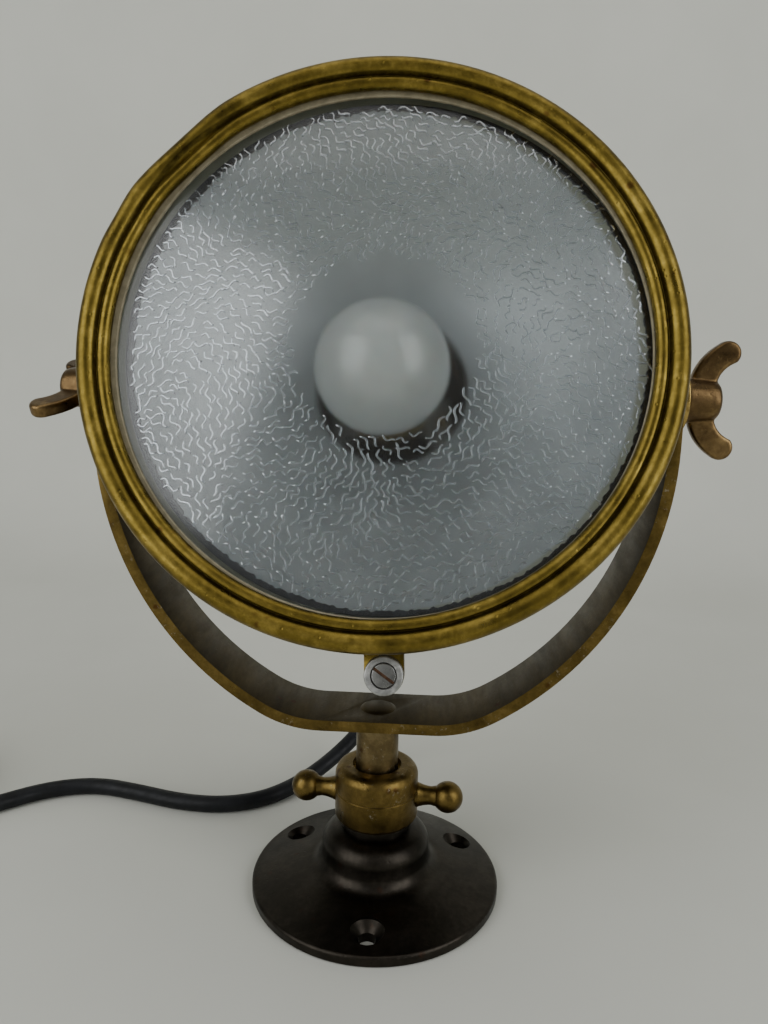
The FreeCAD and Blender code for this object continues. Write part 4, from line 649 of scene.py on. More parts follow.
AGED_BRASS = Metal(
    "aged_brass",
    dark=(0.07, 0.05, 0.012),
    middle=(0.18, 0.128, 0.025),
    bright=(0.36, 0.262, 0.06),
)


class Palette:
    """Every finish of the lamp, made once."""

    def __init__(self) -> None:
        """Make the materials."""
        brass = AGED_BRASS
        bronze = replace(
            brass,
            name="dark_bronze",
            dark=(0.035, 0.024, 0.016),
            middle=(0.075, 0.052, 0.034),
            bright=(0.135, 0.095, 0.062),
            gloss=(0.28, 0.42),
            pit_depth=0.05,
            spot_share=0.1,
        )
        # The band from 84.9 to 86.6 mm is painted shade in the rim's groove.
        self.rim = replace(brass, name="rim_brass", place=RIM_PLACE, groove_shade=(84.9, 86.6, 0.9)).material()
        self.brass = brass.material()
        self.strap = replace(
            brass,
            name="strap_brass",
            dark=(0.03, 0.022, 0.01),
            middle=(0.058, 0.042, 0.017),
            bright=(0.095, 0.069, 0.027),
            gloss=(0.38, 0.52),
            pit_depth=0.05,
            stretch=(1.0, 0.25, 1.0),
        ).material()
        self.post = replace(
            brass,
            name="post_brass",
            dark=(0.06, 0.042, 0.022),
            middle=(0.15, 0.11, 0.05),
            bright=(0.26, 0.2, 0.1),
            pale=(0.45, 0.45, 0.4),
            pit_depth=0.04,
        ).material()
        self.collar = replace(
            brass,
            name="collar_brass",
            dark=(0.055, 0.037, 0.012),
            middle=(0.13, 0.088, 0.025),
            bright=(0.235, 0.16, 0.048),
            pit_depth=0.04,
            pale=(0.36, 0.33, 0.25),
        ).material()
        self.bronze = bronze.material()
        self.base = replace(
            bronze,
            name="base_bronze",
            dark=(0.017, 0.015, 0.0125),
            middle=(0.03, 0.026, 0.021),
            bright=(0.052, 0.044, 0.036),
            gloss=(0.32, 0.42),
            grain_depth=0.02,
        ).material()
        self.nut = replace(
            bronze,
            name="nut_bronze",
            dark=(0.06, 0.036, 0.018),
            middle=(0.13, 0.082, 0.036),
            bright=(0.30, 0.20, 0.085),
            gloss=(0.24, 0.42),
        ).material()
        self.bright = replace(
            brass,
            name="bright_brass",
            dark=(0.30, 0.20, 0.06),
            middle=(0.48, 0.34, 0.11),
            bright=(0.66, 0.49, 0.19),
            gloss=(0.2, 0.36),
        ).material()
        self.zinc = replace(
            brass,
            name="zinc",
            dark=(0.2, 0.2, 0.19),
            middle=(0.36, 0.36, 0.35),
            bright=(0.55, 0.55, 0.53),
            gloss=(0.36, 0.6),
            patch=3.0,
            spots=(0.1, 0.09, 0.075),
        ).material()
        self.rust = replace(
            brass,
            name="rusty_steel",
            dark=(0.07, 0.03, 0.014),
            middle=(0.15, 0.075, 0.04),
            bright=(0.25, 0.16, 0.1),
            gloss=(0.5, 0.75),
            patch=2.4,
            metallic=0.6,
        ).material()
        self.steel = replace(
            brass,
            name="steel",
            dark=(0.2, 0.2, 0.195),
            middle=(0.38, 0.38, 0.37),
            bright=(0.52, 0.52, 0.5),
            gloss=(0.25, 0.4),
            pit_depth=0.03,
        ).material()
        self.silver = Silvering("silvered").material()
        self.glass = Glass("clear_glass").material()
        self.worms = Ridged("ridge_glass").material()
        self.olive = Solid(
            "olive_ring", (0.26, 0.265, 0.2), (0.34, 0.345, 0.27), gloss=(0.45, 0.6)
        ).material()
        self.opal = Opal("opal_glass").material()
        self.rubber = Solid(
            "black_rubber", (0.005, 0.0055, 0.0065), (0.01, 0.011, 0.013), gloss=(0.4, 0.55), shine=0.25
        ).material()
        self.seal = Solid(
            "black_seal", (0.008, 0.01, 0.018), (0.02, 0.024, 0.036), gloss=(0.35, 0.5), patch=2.0
        ).material()
        self.gasket = Solid(
            "tan_gasket", (0.2, 0.172, 0.105), (0.28, 0.245, 0.158), gloss=(0.6, 0.8), patch=3.0
        ).material()
        self.plastic = Solid(
            "black_plastic", (0.012, 0.012, 0.012), (0.02, 0.019, 0.018), gloss=(0.22, 0.36), coat=0.2
        ).material()
        self.ceramic = Solid(
            "white_ceramic", (0.62, 0.59, 0.52), (0.72, 0.7, 0.64), gloss=(0.2, 0.34), coat=0.4
        ).material()
        self.fibre = Solid(
            "fibre", (0.13, 0.062, 0.032), (0.2, 0.1, 0.052), gloss=(0.55, 0.75), patch=2.0
        ).material()


def finish(piece: Piece, material: bpy.types.Material, body: str, slot: str, *nodes: str) -> Piece:
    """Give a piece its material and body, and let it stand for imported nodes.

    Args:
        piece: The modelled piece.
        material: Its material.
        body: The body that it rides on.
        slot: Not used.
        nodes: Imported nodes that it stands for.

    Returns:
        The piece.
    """
    piece.data.materials.clear()
    piece.data.materials.append(material)
    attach(piece, body)
    if nodes:
        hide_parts(*nodes)
    LOG.info("%s rides on %s", piece.name, body)
    return piece


def dress(material: bpy.types.Material, *nodes: str) -> None:
    """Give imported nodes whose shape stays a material."""
    for node in nodes:
        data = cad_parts[node].data
        data.materials.clear()
        data.materials.append(material)


@dataclass(frozen=True)
class Window:
    """Tall soft light that faces the lamp, in millimetres and watts.

    The azimuth is in degrees to the right of the lamp's front, as the camera sees it, and the middle is the
    height of the light's own middle above the floor.
    """

    name: str
    azimuth: float
    width: float
    power: float
    away: float = 1500.0
    height: float = 1500.0
    middle: float = 760.0
    colour: Colour = (0.97, 0.985, 1.0)

    @property
    def place(self) -> Vector:
        """Place of the window's middle."""
        turn = math.radians(self.azimuth)
        return Vector((self.away * math.sin(turn), -self.away * math.cos(turn), self.middle))


@dataclass
class Studio:
    """Camera of the photograph, two tall windows, a weak ceiling light, and a plain pale floor."""

    eye: Triple = (16.51, -277.48, 195.50)
    gaze: Triple = (-0.05596, 0.98313, -0.17415)
    roll: float = 1.16
    focal_share: float = 782.84 / 1024
    sensor: float = 36.0
    floor_half: float = 2400.0
    floor_back: float = 420.0
    cove: float = 260.0
    wall_top: float = 2200.0
    floor_first: Colour = (0.60, 0.605, 0.55)
    floor_second: Colour = (0.63, 0.635, 0.58)
    windows: tuple[Window, ...] = (
        Window("window_left", azimuth=-48.0, width=1300.0, power=15.0),
        Window("window_right", azimuth=57.0, width=950.0, power=12.5),
    )
    ceiling_place: Triple = (0.0, -300.0, 1700.0)
    ceiling_size: Point = (1600.0, 1200.0)
    ceiling_power: float = 6.0
    ceiling_colour: Colour = (1.0, 0.985, 0.95)
    air_colour: Colour = (0.80, 0.81, 0.77)
    air_strength: float = 0.27

    def build(self) -> None:
        """Make the camera, the lights, the floor and the air round them."""
        self.camera()
        self.floor()
        for window in self.windows:
            size = (window.width, window.height)
            light = self.light(window.name, size, window.power, window.colour, window.place)
            towards = Vector((0, 0, PIVOT_HEIGHT)) * MM - light.location
            light.rotation_euler = towards.to_track_quat("-Z", "Y").to_euler()
        self.light(
            "ceiling", self.ceiling_size, self.ceiling_power, self.ceiling_colour, Vector(self.ceiling_place)
        )
        self.air()

    def camera(self) -> None:
        """Place the camera by its eye, gaze and roll."""
        forward = Vector(self.gaze).normalized()
        right = forward.cross(Vector((0, 0, 1))).normalized()
        up = right.cross(forward)
        turn = math.radians(self.roll)
        tipped_right = right * math.cos(turn) + up * math.sin(turn)
        tipped_up = up * math.cos(turn) - right * math.sin(turn)
        rotation = Matrix((tipped_right, tipped_up, -forward)).transposed()
        data = bpy.data.cameras.new("camera")
        data.sensor_width = self.sensor
        data.lens = self.sensor * self.focal_share
        data.clip_start = 10 * MM
        camera = bpy.data.objects.new("camera", data)
        camera.matrix_world = Matrix.Translation(Vector(self.eye) * MM) @ rotation.to_4x4()
        bpy.context.scene.collection.objects.link(camera)
        bpy.context.scene.camera = camera

    def floor(self) -> None:
        """Sweep the floor up into a wall behind, and stage it."""
        half = self.floor_half
        line = [(-half, 0.0), (self.floor_back, 0.0)]
        line += arc((self.floor_back, self.cove), self.cove, -80.0, 0.0, 12)
        line.append((self.floor_back + self.cove, self.wall_top))
        piece = Bench.chain("floor", [Vector((-half, y, z)) * MM for y, z in line])
        bpy.ops.mesh.select_all(action="SELECT")
        bpy.ops.mesh.extrude_region_move(TRANSFORM_OT_translate={"value": (2 * half * MM, 0, 0)})
        Bench.smooth(piece)
        g = Graph("pale_floor")
        g.set(
            Base_Color=g.ramp(g.noise(120, detail=3), ((0.3, self.floor_first), (0.7, self.floor_second))),
            Roughness=0.75,
        )
        piece.data.materials.append(g.material)

    @staticmethod
    def light(name: str, size: Point, power: float, colour: Colour, place: Vector) -> Piece:
        """Hang a soft light that shines straight down.

        Args:
            name: Name of the light.
            size: Width and height in millimetres.
            power: Power in watts.
            colour: Colour of the light.
            place: Place of its middle in millimetres.

        Returns:
            The light.
        """
        data = bpy.data.lights.new(name, "AREA")
        data.shape = "RECTANGLE"
        data.size, data.size_y = (part * MM for part in size)
        data.energy = power
        data.color = colour
        light = bpy.data.objects.new(name, data)
        light.location = place * MM
        bpy.context.scene.collection.objects.link(light)
        return light

    def air(self) -> None:
        """Fill the shadows with a weak warm grey."""
        world = bpy.data.worlds.new("room")
        world.use_nodes = True
        background = world.node_tree.nodes["Background"]
        background.inputs["Color"].default_value = (*self.air_colour, 1.0)
        background.inputs["Strength"].default_value = self.air_strength
        bpy.context.scene.world = world


@dataclass
class Flex:
    """The rubber cord: up to the gland, down behind the yoke, away to the left and into its coil."""

    radius: float = 3.6
    start: Triple = (0.0, 71.93, 104.97)
    upper: tuple[Triple, ...] = (
        (0.0, 84.97, 89.81),
        (-1.4, 91.3, 77.1),
    )
    split: Triple = (-1.4315, 93.35, 62.55)
    lower: tuple[Triple, ...] = (
        (-1.463, 95.4, 48.0),
        (-7.0, 93.5, 28.0),
        (-19.2, 85.7, 13.1),
        (-36.0, 68.2, 4.2),
        (-51.1, 49.0, 3.6),
        (-70.1, 40.5, 3.6),
        (-91.5, 41.4, 3.6),
        (-112.0, 47.5, 3.6),
        (-134.0, 52.3, 3.6),
        (-154.0, 46.5, 3.6),
        (-170.5, 33.0, 3.6),
        (-187.5, 17.3, 3.6),
        (-203.6, 3.0, 3.6),
    )
    coil_radius: float = 47.0
    coil_step: float = 8.0
    coil_layer: float = 7.7
    turns_in: float = 2.75
    climb: float = 0.5
    end_straight: float = 7.2
    points_a_turn: int = 16
    tail_runs: Triple = (11.0, 15.0, 11.0)
    tail_turn: float = 9.0
    plug_axis: float = 10.2

    def build(self, palette: Palette) -> None:
        """Lay the cord and finish the plug."""
        rise = self.line("cord_rise", [self.start, *self.upper, self.split])
        finish(rise, palette.rubber, "yoke", "black_rubber", "cord_upper")
        route = [Vector(point) for point in (self.split, *self.lower)]
        route += self.coil(route[-1], (route[-1] - route[-2]).normalized())
        lead = self.line("cord_lead", route)
        finish(lead, palette.rubber, "base", "black_rubber", "cord_lower", "cord_coil", "cord_tail")
        plug = Bench.smoothed("plug_body", "plug_shell")
        Bench.ease(plug, 0.8, segments=3)
        finish(plug, palette.plastic, "base", "black_plastic", "plug_body")
        pins = Bench.smoothed("plug_pins", "plug_prongs")
        Bench.ease(pins, 0.6, segments=3)
        finish(pins, palette.bright, "base", "bright_brass", "plug_pins")
        dress(palette.steel, "plug_screw")

    def line(self, name: str, points: Sequence[Sequence[float]]) -> Piece:
        """Round cord whose smooth line has these control points."""
        data = bpy.data.curves.new(name, "CURVE")
        data.dimensions = "3D"
        data.bevel_depth = self.radius * MM
        data.bevel_resolution = 5
        data.use_fill_caps = True
        spline = data.splines.new("NURBS")
        spline.points.add(len(points) - 1)
        for target, point in zip(spline.points, points):
            target.co = (*(Vector(point) * MM), 1.0)
        spline.order_u = 3
        spline.use_endpoint_u = True
        spline.resolution_u = 8
        piece = bpy.data.objects.new(name, data)
        bpy.context.scene.collection.objects.link(piece)
        return piece

    def coil_place(self, turns: float) -> tuple[float, float]:
        """Radius and height of the coil after some turns."""
        inner = self.coil_radius - self.coil_step * self.turns_in
        if turns <= self.turns_in:
            return self.coil_radius - self.coil_step * turns, self.radius
        out = turns - self.turns_in - self.climb
        if out >= 0:
            return inner + self.coil_step * out, self.radius + self.coil_layer
        done = (turns - self.turns_in) / self.climb
        radius = inner + self.coil_step * self.climb * (done * done - done)
        return radius, self.radius + self.coil_layer * (done - math.sin(math.tau * done) / math.tau)

    def coil(self, last: Vector, way: Vector) -> list[Vector]:
        """Points of the coil's turns and of the tail down to the plug.

        Args:
            last: End of the free stretch.
            way: Unit vector along its last run.

        Returns:
            The points in order.
        """
        slope = self.coil_step / math.tau
        angle = math.atan2(way.y, way.x) + math.atan2(slope, self.coil_radius) + math.pi / 2
        first = last + way * self.end_straight
        centre = first - Vector((math.cos(angle), math.sin(angle), 0)) * self.coil_radius
        outside = 1 / math.cos(math.pi / self.points_a_turn)
        count = round((2 * self.turns_in + self.climb) * self.points_a_turn)
        points = []
        for index in range(count + 1):
            turns = index / self.points_a_turn
            radius, height = self.coil_place(turns)
            if 0 < index < count:
                radius *= outside
            place = angle - math.tau * turns
            x = centre.x + radius * math.cos(place)
            y = centre.y + radius * math.sin(place)
            points.append(Vector((x, y, height)))
        heading = (points[-1] - points[-2]).normalized()
        start = points[-1] + heading * self.end_straight
        for index, run in enumerate(self.tail_runs):
            turn = math.radians(self.tail_turn * index)
            onward = Matrix.Rotation(turn, 3, "Z") @ Vector((heading.x, heading.y, 0)).normalized()
            start = start + onward * run
            start.z = self.radius + self.coil_layer if index == 0 else self.plug_axis
            points.append(start.copy())
        return points


@dataclass
class Glazing:
    """Pressed glass of the rim: a shallow dome with short wavy ridges round a clear middle."""

    border_radius: float = 85.0
    dome_radius: float = 80.0
    front: float = 37.0
    edge: float = 4.0
    rise: float = 5.3
    wall: float = 3.4
    shift: Point = (2.0, -0.4)
    clear_radius: float = 28.8
    pattern_radius: float = 77.6
    chamfer: float = 0.5
    dome_steps: int = 24
    seed: int = 7
    ridge_half_width: float = 0.3
    ridge_height: float = 0.36
    ridge_foot: float = 0.04
    ridge_taper: float = 0.45
    ridge_stations: int = 11
    ridge_length: Point = (3.6, 5.8)
    ridge_wave: Point = (0.55, 0.8)
    ridge_phase: Point = (-0.15, 0.15)
    ridge_waves: Point = (0.9, 1.3)
    ridge_size: Point = (0.85, 1.1)
    swirl: float = 1.15
    ripple: float = 0.5
    stray: float = 0.22
    pitch_along: float = 4.7
    pitch_across: float = 1.72
    kinds: int = 10
    tries: int = 60000

    @property
    def place(self) -> Matrix:
        """Place of the glass in the lamp's frame."""
        return RIM_PLACE @ Matrix.Translation((self.shift[0] * MM, 0, self.shift[1] * MM))

    def curve(self, rise: float) -> float:
        """Radius of the sphere that a dome of this rise is cut from."""
        return (self.dome_radius**2 + rise**2) / (2 * rise)

    def drop(self, radius: float, rise: float) -> float:
        """Drop of a dome below its top at a radius."""
        curve = self.curve(rise)
        return curve - math.sqrt(curve**2 - radius**2)

    def build(self, palette: Palette) -> None:
        """Turn the plate and press the ridges on it."""
        top = self.front + self.rise
        rear_top = top - self.wall
        rear = self.front - self.edge
        rear_rise = rear_top - rear
        border, chamfer, steps = self.border_radius, self.chamfer, self.dome_steps
        outline = curve_between(lambda r: top - self.drop(r, self.rise), 0.0, self.dome_radius, steps)
        outline += [(border - chamfer, self.front), (border, self.front - chamfer), (border, rear)]
        outline += curve_between(lambda r: rear_top - self.drop(r, rear_rise), self.dome_radius, 0.0, steps)
        plate = Bench.lathe("lens_plate", outline, Axis.OPTICAL, 128)
        plate.data.transform(self.place)
        finish(plate, palette.glass, "rim", "clear_glass", "lens_glass")
        ridges = self.ridges()
        ridges.data.transform(self.place)
        finish(ridges, palette.worms, "rim", "clear_glass")

    def ridge(self, index: int, draw: random.Random) -> Piece:
        """Model one wavy ridge, lying along X with its flat side down.

        Args:
            index: Number of the ridge's kind.
            draw: Source of its random measures.

        Returns:
            The ridge at the origin, its flat side down.
        """
        length = draw.uniform(*self.ridge_length)
        wave = draw.uniform(*self.ridge_wave) * (1 if index % 2 else -1)
        phase = draw.uniform(*self.ridge_phase)
        waves = draw.uniform(*self.ridge_waves)
        points = []
        for step in range(self.ridge_stations):
            share = step / (self.ridge_stations - 1) - 0.5
            side = wave * math.sin(math.tau * (waves * share + phase))
            points.append(Vector((share * length, side, 0)) * MM)
        piece = Bench.chain(f"ridge_{index}", points)
        Bench.pick(piece)
        bpy.ops.object.convert(target="CURVE")
        curve = piece.data
        curve.bevel_depth = self.ridge_half_width * MM
        curve.bevel_resolution = 1
        curve.use_fill_caps = True
        for spline in curve.splines:
            last = len(spline.points) - 1
            for step, point in enumerate(spline.points):
                point.radius = self.ridge_taper if step in (0, last) else 1.0
        bpy.ops.object.convert(target="MESH")
        Bench.edit(piece)
        bpy.ops.mesh.remove_doubles(threshold=Bench.DOUBLES)
        bpy.ops.mesh.select_all(action="SELECT")
        bpy.ops.mesh.bisect(
            plane_co=(0, 0, -self.ridge_foot * MM),
            plane_no=(0, 0, 1),
            use_fill=True,
            clear_inner=True,
            threshold=MM * 0.0001,
        )
        bpy.ops.mesh.select_all(action="SELECT")
        bpy.ops.transform.resize(value=(1, 1, self.ridge_height / self.ridge_half_width))
        bpy.ops.mesh.normals_make_consistent(inside=False)
        Bench.clear()
        return piece

    def heading(self, x: float, z: float) -> float:
        """Direction of the ridges at a place: slow swirls that differ from patch to patch."""
        swirl = math.sin(x / 17 + 0.6) + math.cos(z / 15 - 0.4) + 0.8 * math.sin((x + z) / 23 + 1.1)
        ripple = math.sin(x / 6.1 - z / 7.7)
        return swirl * self.swirl + self.ripple * ripple

    def places(self, draw: random.Random) -> list[Triple]:
        """Scatter places for the ridges, close but never touching.

        Args:
            draw: Source of the random places.

        Returns:
            Places as (x, z, heading).
        """
        cell = self.pitch_along
        taken: dict[tuple[int, int], list[Triple]] = {}
        kept = []
        for _ in range(self.tries):
            radius = math.sqrt(draw.uniform(self.clear_radius**2, self.pattern_radius**2))
            angle = draw.uniform(0, math.tau)
            x, z = radius * math.cos(angle), radius * math.sin(angle)
            heading = self.heading(x, z) + draw.uniform(-self.stray, self.stray)
            ways = math.cos(heading), math.sin(heading)
            key = (math.floor(x / cell), math.floor(z / cell))
            around = [(key[0] + i, key[1] + j) for i in (-1, 0, 1) for j in (-1, 0, 1)]
            near = [other for place in around for other in taken.get(place, [])]
            if any(self.too_near(x - other[0], z - other[1], ways) for other in near):
                continue
            kept.append((x, z, heading))
            taken.setdefault(key, []).append((x, z, heading))
        return kept

    def too_near(self, x: float, z: float, ways: Point) -> bool:
        """True if a neighbour lies inside the ridge's own field."""
        along = x * ways[0] + z * ways[1]
        across = z * ways[0] - x * ways[1]
        return (along / self.pitch_along) ** 2 + (across / self.pitch_across) ** 2 < 1

    @staticmethod
    def shape(kind: Piece) -> tuple[list[Vector], list[list[int]]]:
        """Corners of a kind of ridge, and its sides by their corners' numbers."""
        corners = [vertex.co.copy() for vertex in kind.data.vertices]
        return corners, [list(side.vertices) for side in kind.data.polygons]

    def ridges(self) -> Piece:
        """Copy the kinds of ridge to their places on the dome and join them."""
        draw = random.Random(self.seed)
        kinds = [self.ridge(index, draw) for index in range(self.kinds)]
        shapes = [self.shape(kind) for kind in kinds]
        top = self.front + self.rise
        centre = Vector((0, -(top - self.curve(self.rise)), 0)) * MM
        vertices: list[Vector] = []
        faces: list[list[int]] = []
        for x, z, heading in self.places(draw):
            corners, sides = shapes[draw.randrange(self.kinds)]
            foot = Vector((x, -(top - self.drop(math.hypot(x, z), self.rise)), z)) * MM
            out = (foot - centre).normalized()
            along = Vector((math.cos(heading), 0, math.sin(heading)))
            along = (along - out * along.dot(out)).normalized()
            turn = Matrix((along, out.cross(along), out)).transposed()
            size = draw.uniform(*self.ridge_size)
            base = len(vertices)
            vertices += [foot + turn @ (corner * size) for corner in corners]
            faces += [[base + index for index in side] for side in sides]
        for kind in kinds:
            bpy.data.objects.remove(kind, do_unlink=True)
        data = bpy.data.meshes.new("lens_ridges")
        data.from_pydata(vertices, [], faces)
        piece = bpy.data.objects.new("lens_ridges", data)
        bpy.context.scene.collection.objects.link(piece)
        return Bench.smooth(piece, 50.0)


def bowed(start: Point, end: Point, sag: float, steps: int = 10) -> list[Point]:
    """Points of a bowed line that bulges to the left of its way by a sag, without its first point."""
    run = (end[0] - start[0], end[1] - start[1])
    length = math.hypot(*run)
    left = (-run[1] / length, run[0] / length)
    points = []
    for index in range(1, steps + 1):
        share = index / steps
        bulge = 4 * sag * share * (1 - share)
        across = start[0] + run[0] * share + left[0] * bulge
        along = start[1] + run[1] * share + left[1] * bulge
        points.append((across, along))
    return points


def push(piece: Piece, centre: Vector, reach: float, shift: Vector) -> None:
    """Dent a piece: move its vertices near a place, fading out with distance.

    Args:
        piece: The mesh piece.
        centre: Middle of the dent in metres.
        reach: Distance in metres at which the dent fades out.
        shift: The move at the middle, in metres.
    """
    for vertex in piece.data.vertices:
        share = (vertex.co - centre).length / reach
        if share < 1:
            vertex.co += shift * (1 - share * share) ** 2


@dataclass(frozen=True)
class Dent:
    """Dent in a turned piece, in millimetres, with its turn in degrees up from the right."""

    turn: float
    radius: float
    forward: float
    reach: float
    depth: float


@dataclass
class Bezel:
    """Moulded rim round the glass, with its leaf, its lug, the seals, the cup washer and the screw."""

    skirt_inner: float = 88.6
    skirt_outer: float = 90.2
    skirt_rear: float = 27.4
    step: float = 31.0
    bore: float = 87.6
    lip_rear: float = 38.0
    outer_bead: Point = (88.7, 40.4)
    outer_radius: float = 3.2
    inner_bead: Point = (83.9, 39.8)
    inner_radius: float = 2.1
    outer_sweep: Point = (-62.0, 150.0)
    inner_sweep: Point = (62.0, 239.0)
    groove: tuple[Point, ...] = ((85.66, 41.25), (85.46, 40.95), (85.22, 41.1))
    dents: tuple[Dent, ...] = (
        Dent(turn=133.0, radius=91.2, forward=40.0, reach=21.0, depth=1.3),
        Dent(turn=152.0, radius=89.0, forward=42.0, reach=9.0, depth=0.35),
    )
    hinge_radius: float = 94.0
    hinge_forward: float = 25.5
    knuckle: float = 3.2
    knuckle_half: float = 7.0
    pin_radius: float = 1.56
    leaf: Triple = (89.2, 92.2, 36.0)
    lug_at: float = 98.5
    lug_radius: float = 6.0
    lug_span: Point = (26.8, 29.2)
    lug_bore: float = 2.3
    lug_root: float = 88.9
    seal_inner: float = 79.4
    seal_outer: float = 81.0
    seal_span: Point = (31.1, 32.2)
    seal_seed: int = 11
    fray_waves: tuple[int, ...] = (97, 151, 233)
    fray_depth: float = 0.16
    fray_inset: float = 0.2
    swell_waves: int = 19
    swell_depth: float = 0.2
    worn_turn: float = 196.0
    worn_depth: float = 0.3
    gasket_shift: Point = (0.6, -0.4)
    screw_skin: float = 0.3

    def build(self, palette: Palette) -> None:
        """Make the rim group."""
        self.ring(palette)
        self.hinge_leaf(palette)
        self.lug(palette)
        self.seal(palette)
        self.gasket(palette)
        ring = Bench.smoothed("lens_ring", "spring_ring")
        finish(ring, palette.olive, "rim", "aged_brass", "lens_ring")
        cup = Bench.smoothed("cup_washer", "cup")
        finish(cup, palette.zinc, "rim_screw", "zinc", "cup_washer")
        screw = Bench.smoothed("rim_screw", "slotted_screw")
        finish(screw, palette.rust, "rim_screw", "rusty_steel", "rim_screw")
        screw.data.materials.append(palette.steel)
        forward = (RIM_PLACE.to_3x3() @ Vector((0, -1, 0))).normalized()
        front = max(vertex.co.dot(forward) for vertex in screw.data.vertices)
        for face in screw.data.polygons:
            face.material_index = int(face.center.dot(forward) > front - self.screw_skin * MM)

    def ring(self, palette: Palette) -> None:
        """Turn the beads, the groove, the skirt and the glass rebate, and dent them at the upper left."""
        outline = [
            (self.bore, self.lip_rear),
            (self.bore, self.step),
            (self.skirt_inner, self.step),
            (self.skirt_inner, self.skirt_rear),
            (self.skirt_outer, self.skirt_rear),
        ]
        outline += arc(self.outer_bead, self.outer_radius, *self.outer_sweep, 22)
        outline += self.groove
        outline += arc(self.inner_bead, self.inner_radius, *self.inner_sweep, 16)
        ring = Bench.lathe("rim_ring", outline, Axis.OPTICAL, steps=288)
        Bench.ease(ring, 0.25, segments=2, angle=50.0)
        for dent in self.dents:
            turn = math.radians(dent.turn)
            outward = Vector((math.cos(turn), 0, math.sin(turn)))
            centre = (outward * dent.radius + Vector((0, -dent.forward, 0))) * MM
            push(ring, centre, dent.reach * MM, outward * -dent.depth * MM)
        ring.data.transform(RIM_PLACE)
        finish(ring, palette.rim, "rim", "aged_brass", "front_rim")

    def hinge_leaf(self, palette: Palette) -> None:
        """Join the hinge's knuckle and its leaf on the rim's top."""
        at = Vector((0, -self.hinge_forward, self.hinge_radius))
        leaf = Bench.rod("rim_leaf", self.knuckle, Axis.PIVOT, -self.knuckle_half, self.knuckle_half, at)
        low, high, front = self.leaf
        plate = Bench.block(
            "leaf_plate", (-self.knuckle_half, -front, low), (self.knuckle_half, -self.hinge_forward, high)
        )
        Bench.combine(leaf, plate, "UNION")
        reach = self.knuckle_half + 5
        pin = Bench.rod("pin_bore", self.pin_radius, Axis.PIVOT, -reach, reach, at)
        Bench.combine(leaf, pin)
        Bench.ease(leaf, 0.3)
        leaf.data.transform(RIM_PLACE)
        finish(leaf, palette.brass, "rim", "aged_brass")

    def lug(self, palette: Palette) -> None:
        """Shape the lug that carries the screw."""
        at = Vector((0, 0, -self.lug_at))
        lug = Bench.rod("rim_lug", self.lug_radius, Axis.OPTICAL, *self.lug_span, at)
        rear, front = self.lug_span
        half = self.lug_radius
        neck = Bench.block("lug_neck", (-half, -front, -self.lug_at), (half, -rear, -self.lug_root))
        Bench.combine(lug, neck, "UNION")
        bore = Bench.rod("lug_bore", self.lug_bore, Axis.OPTICAL, rear - 2, front + 2, at)
        Bench.combine(lug, bore)
        Bench.ease(lug, 0.35)
        lug.data.transform(RIM_PLACE)
        finish(lug, palette.brass, "rim", "aged_brass")

    def seal(self, palette: Palette) -> None:
        """Turn the black seal behind the glass, and fray its inner edge."""
        rear, front = self.seal_span
        inner, outer = self.seal_inner, self.seal_outer
        outline = [(inner, rear), (outer, rear), (outer, front), (inner, front)]
        seal = Bench.lathe("lens_seal_frayed", outline, Axis.OPTICAL, steps=720)
        draw = random.Random(self.seal_seed)
        phases = [draw.uniform(0, math.tau) for _ in self.fray_waves]
        swell_phase = draw.uniform(0, math.tau)
        for vertex in seal.data.vertices:
            out = math.hypot(vertex.co.x, vertex.co.z)
            if out > (inner + 0.5) * MM:
                continue
            turn = math.atan2(vertex.co.z, vertex.co.x)
            wave = sum(math.sin(count * turn + phase) for count, phase in zip(self.fray_waves, phases))
            swell = math.sin(self.swell_waves * turn + swell_phase)
            worn = self.worn_depth * max(0.0, math.cos(turn - math.radians(self.worn_turn)))
            fray = (self.fray_depth * wave + self.swell_depth * swell - self.fray_inset - worn) * MM
            vertex.co.x += fray * math.cos(turn)
            vertex.co.z += fray * math.sin(turn)
        seal.data.transform(Glazing().place)
        finish(seal, palette.seal, "rim", "black_rubber", "lens_seal")

    def gasket(self, palette: Palette) -> None:
        """Turn the tan gasket that shows inside the lip at the left and the top."""
        outline = [(81.2, 37.05), (86.6, 37.05), (86.6, 37.95), (81.5, 37.95), (81.2, 37.7)]
        gasket = Bench.lathe("lens_gasket_pressed", outline, Axis.OPTICAL, steps=160)
        right, up = self.gasket_shift
        gasket.data.transform(RIM_PLACE @ Matrix.Translation((right * MM, 0, up * MM)))
        finish(gasket, palette.gasket, "rim", "tan_gasket", "lens_gasket")


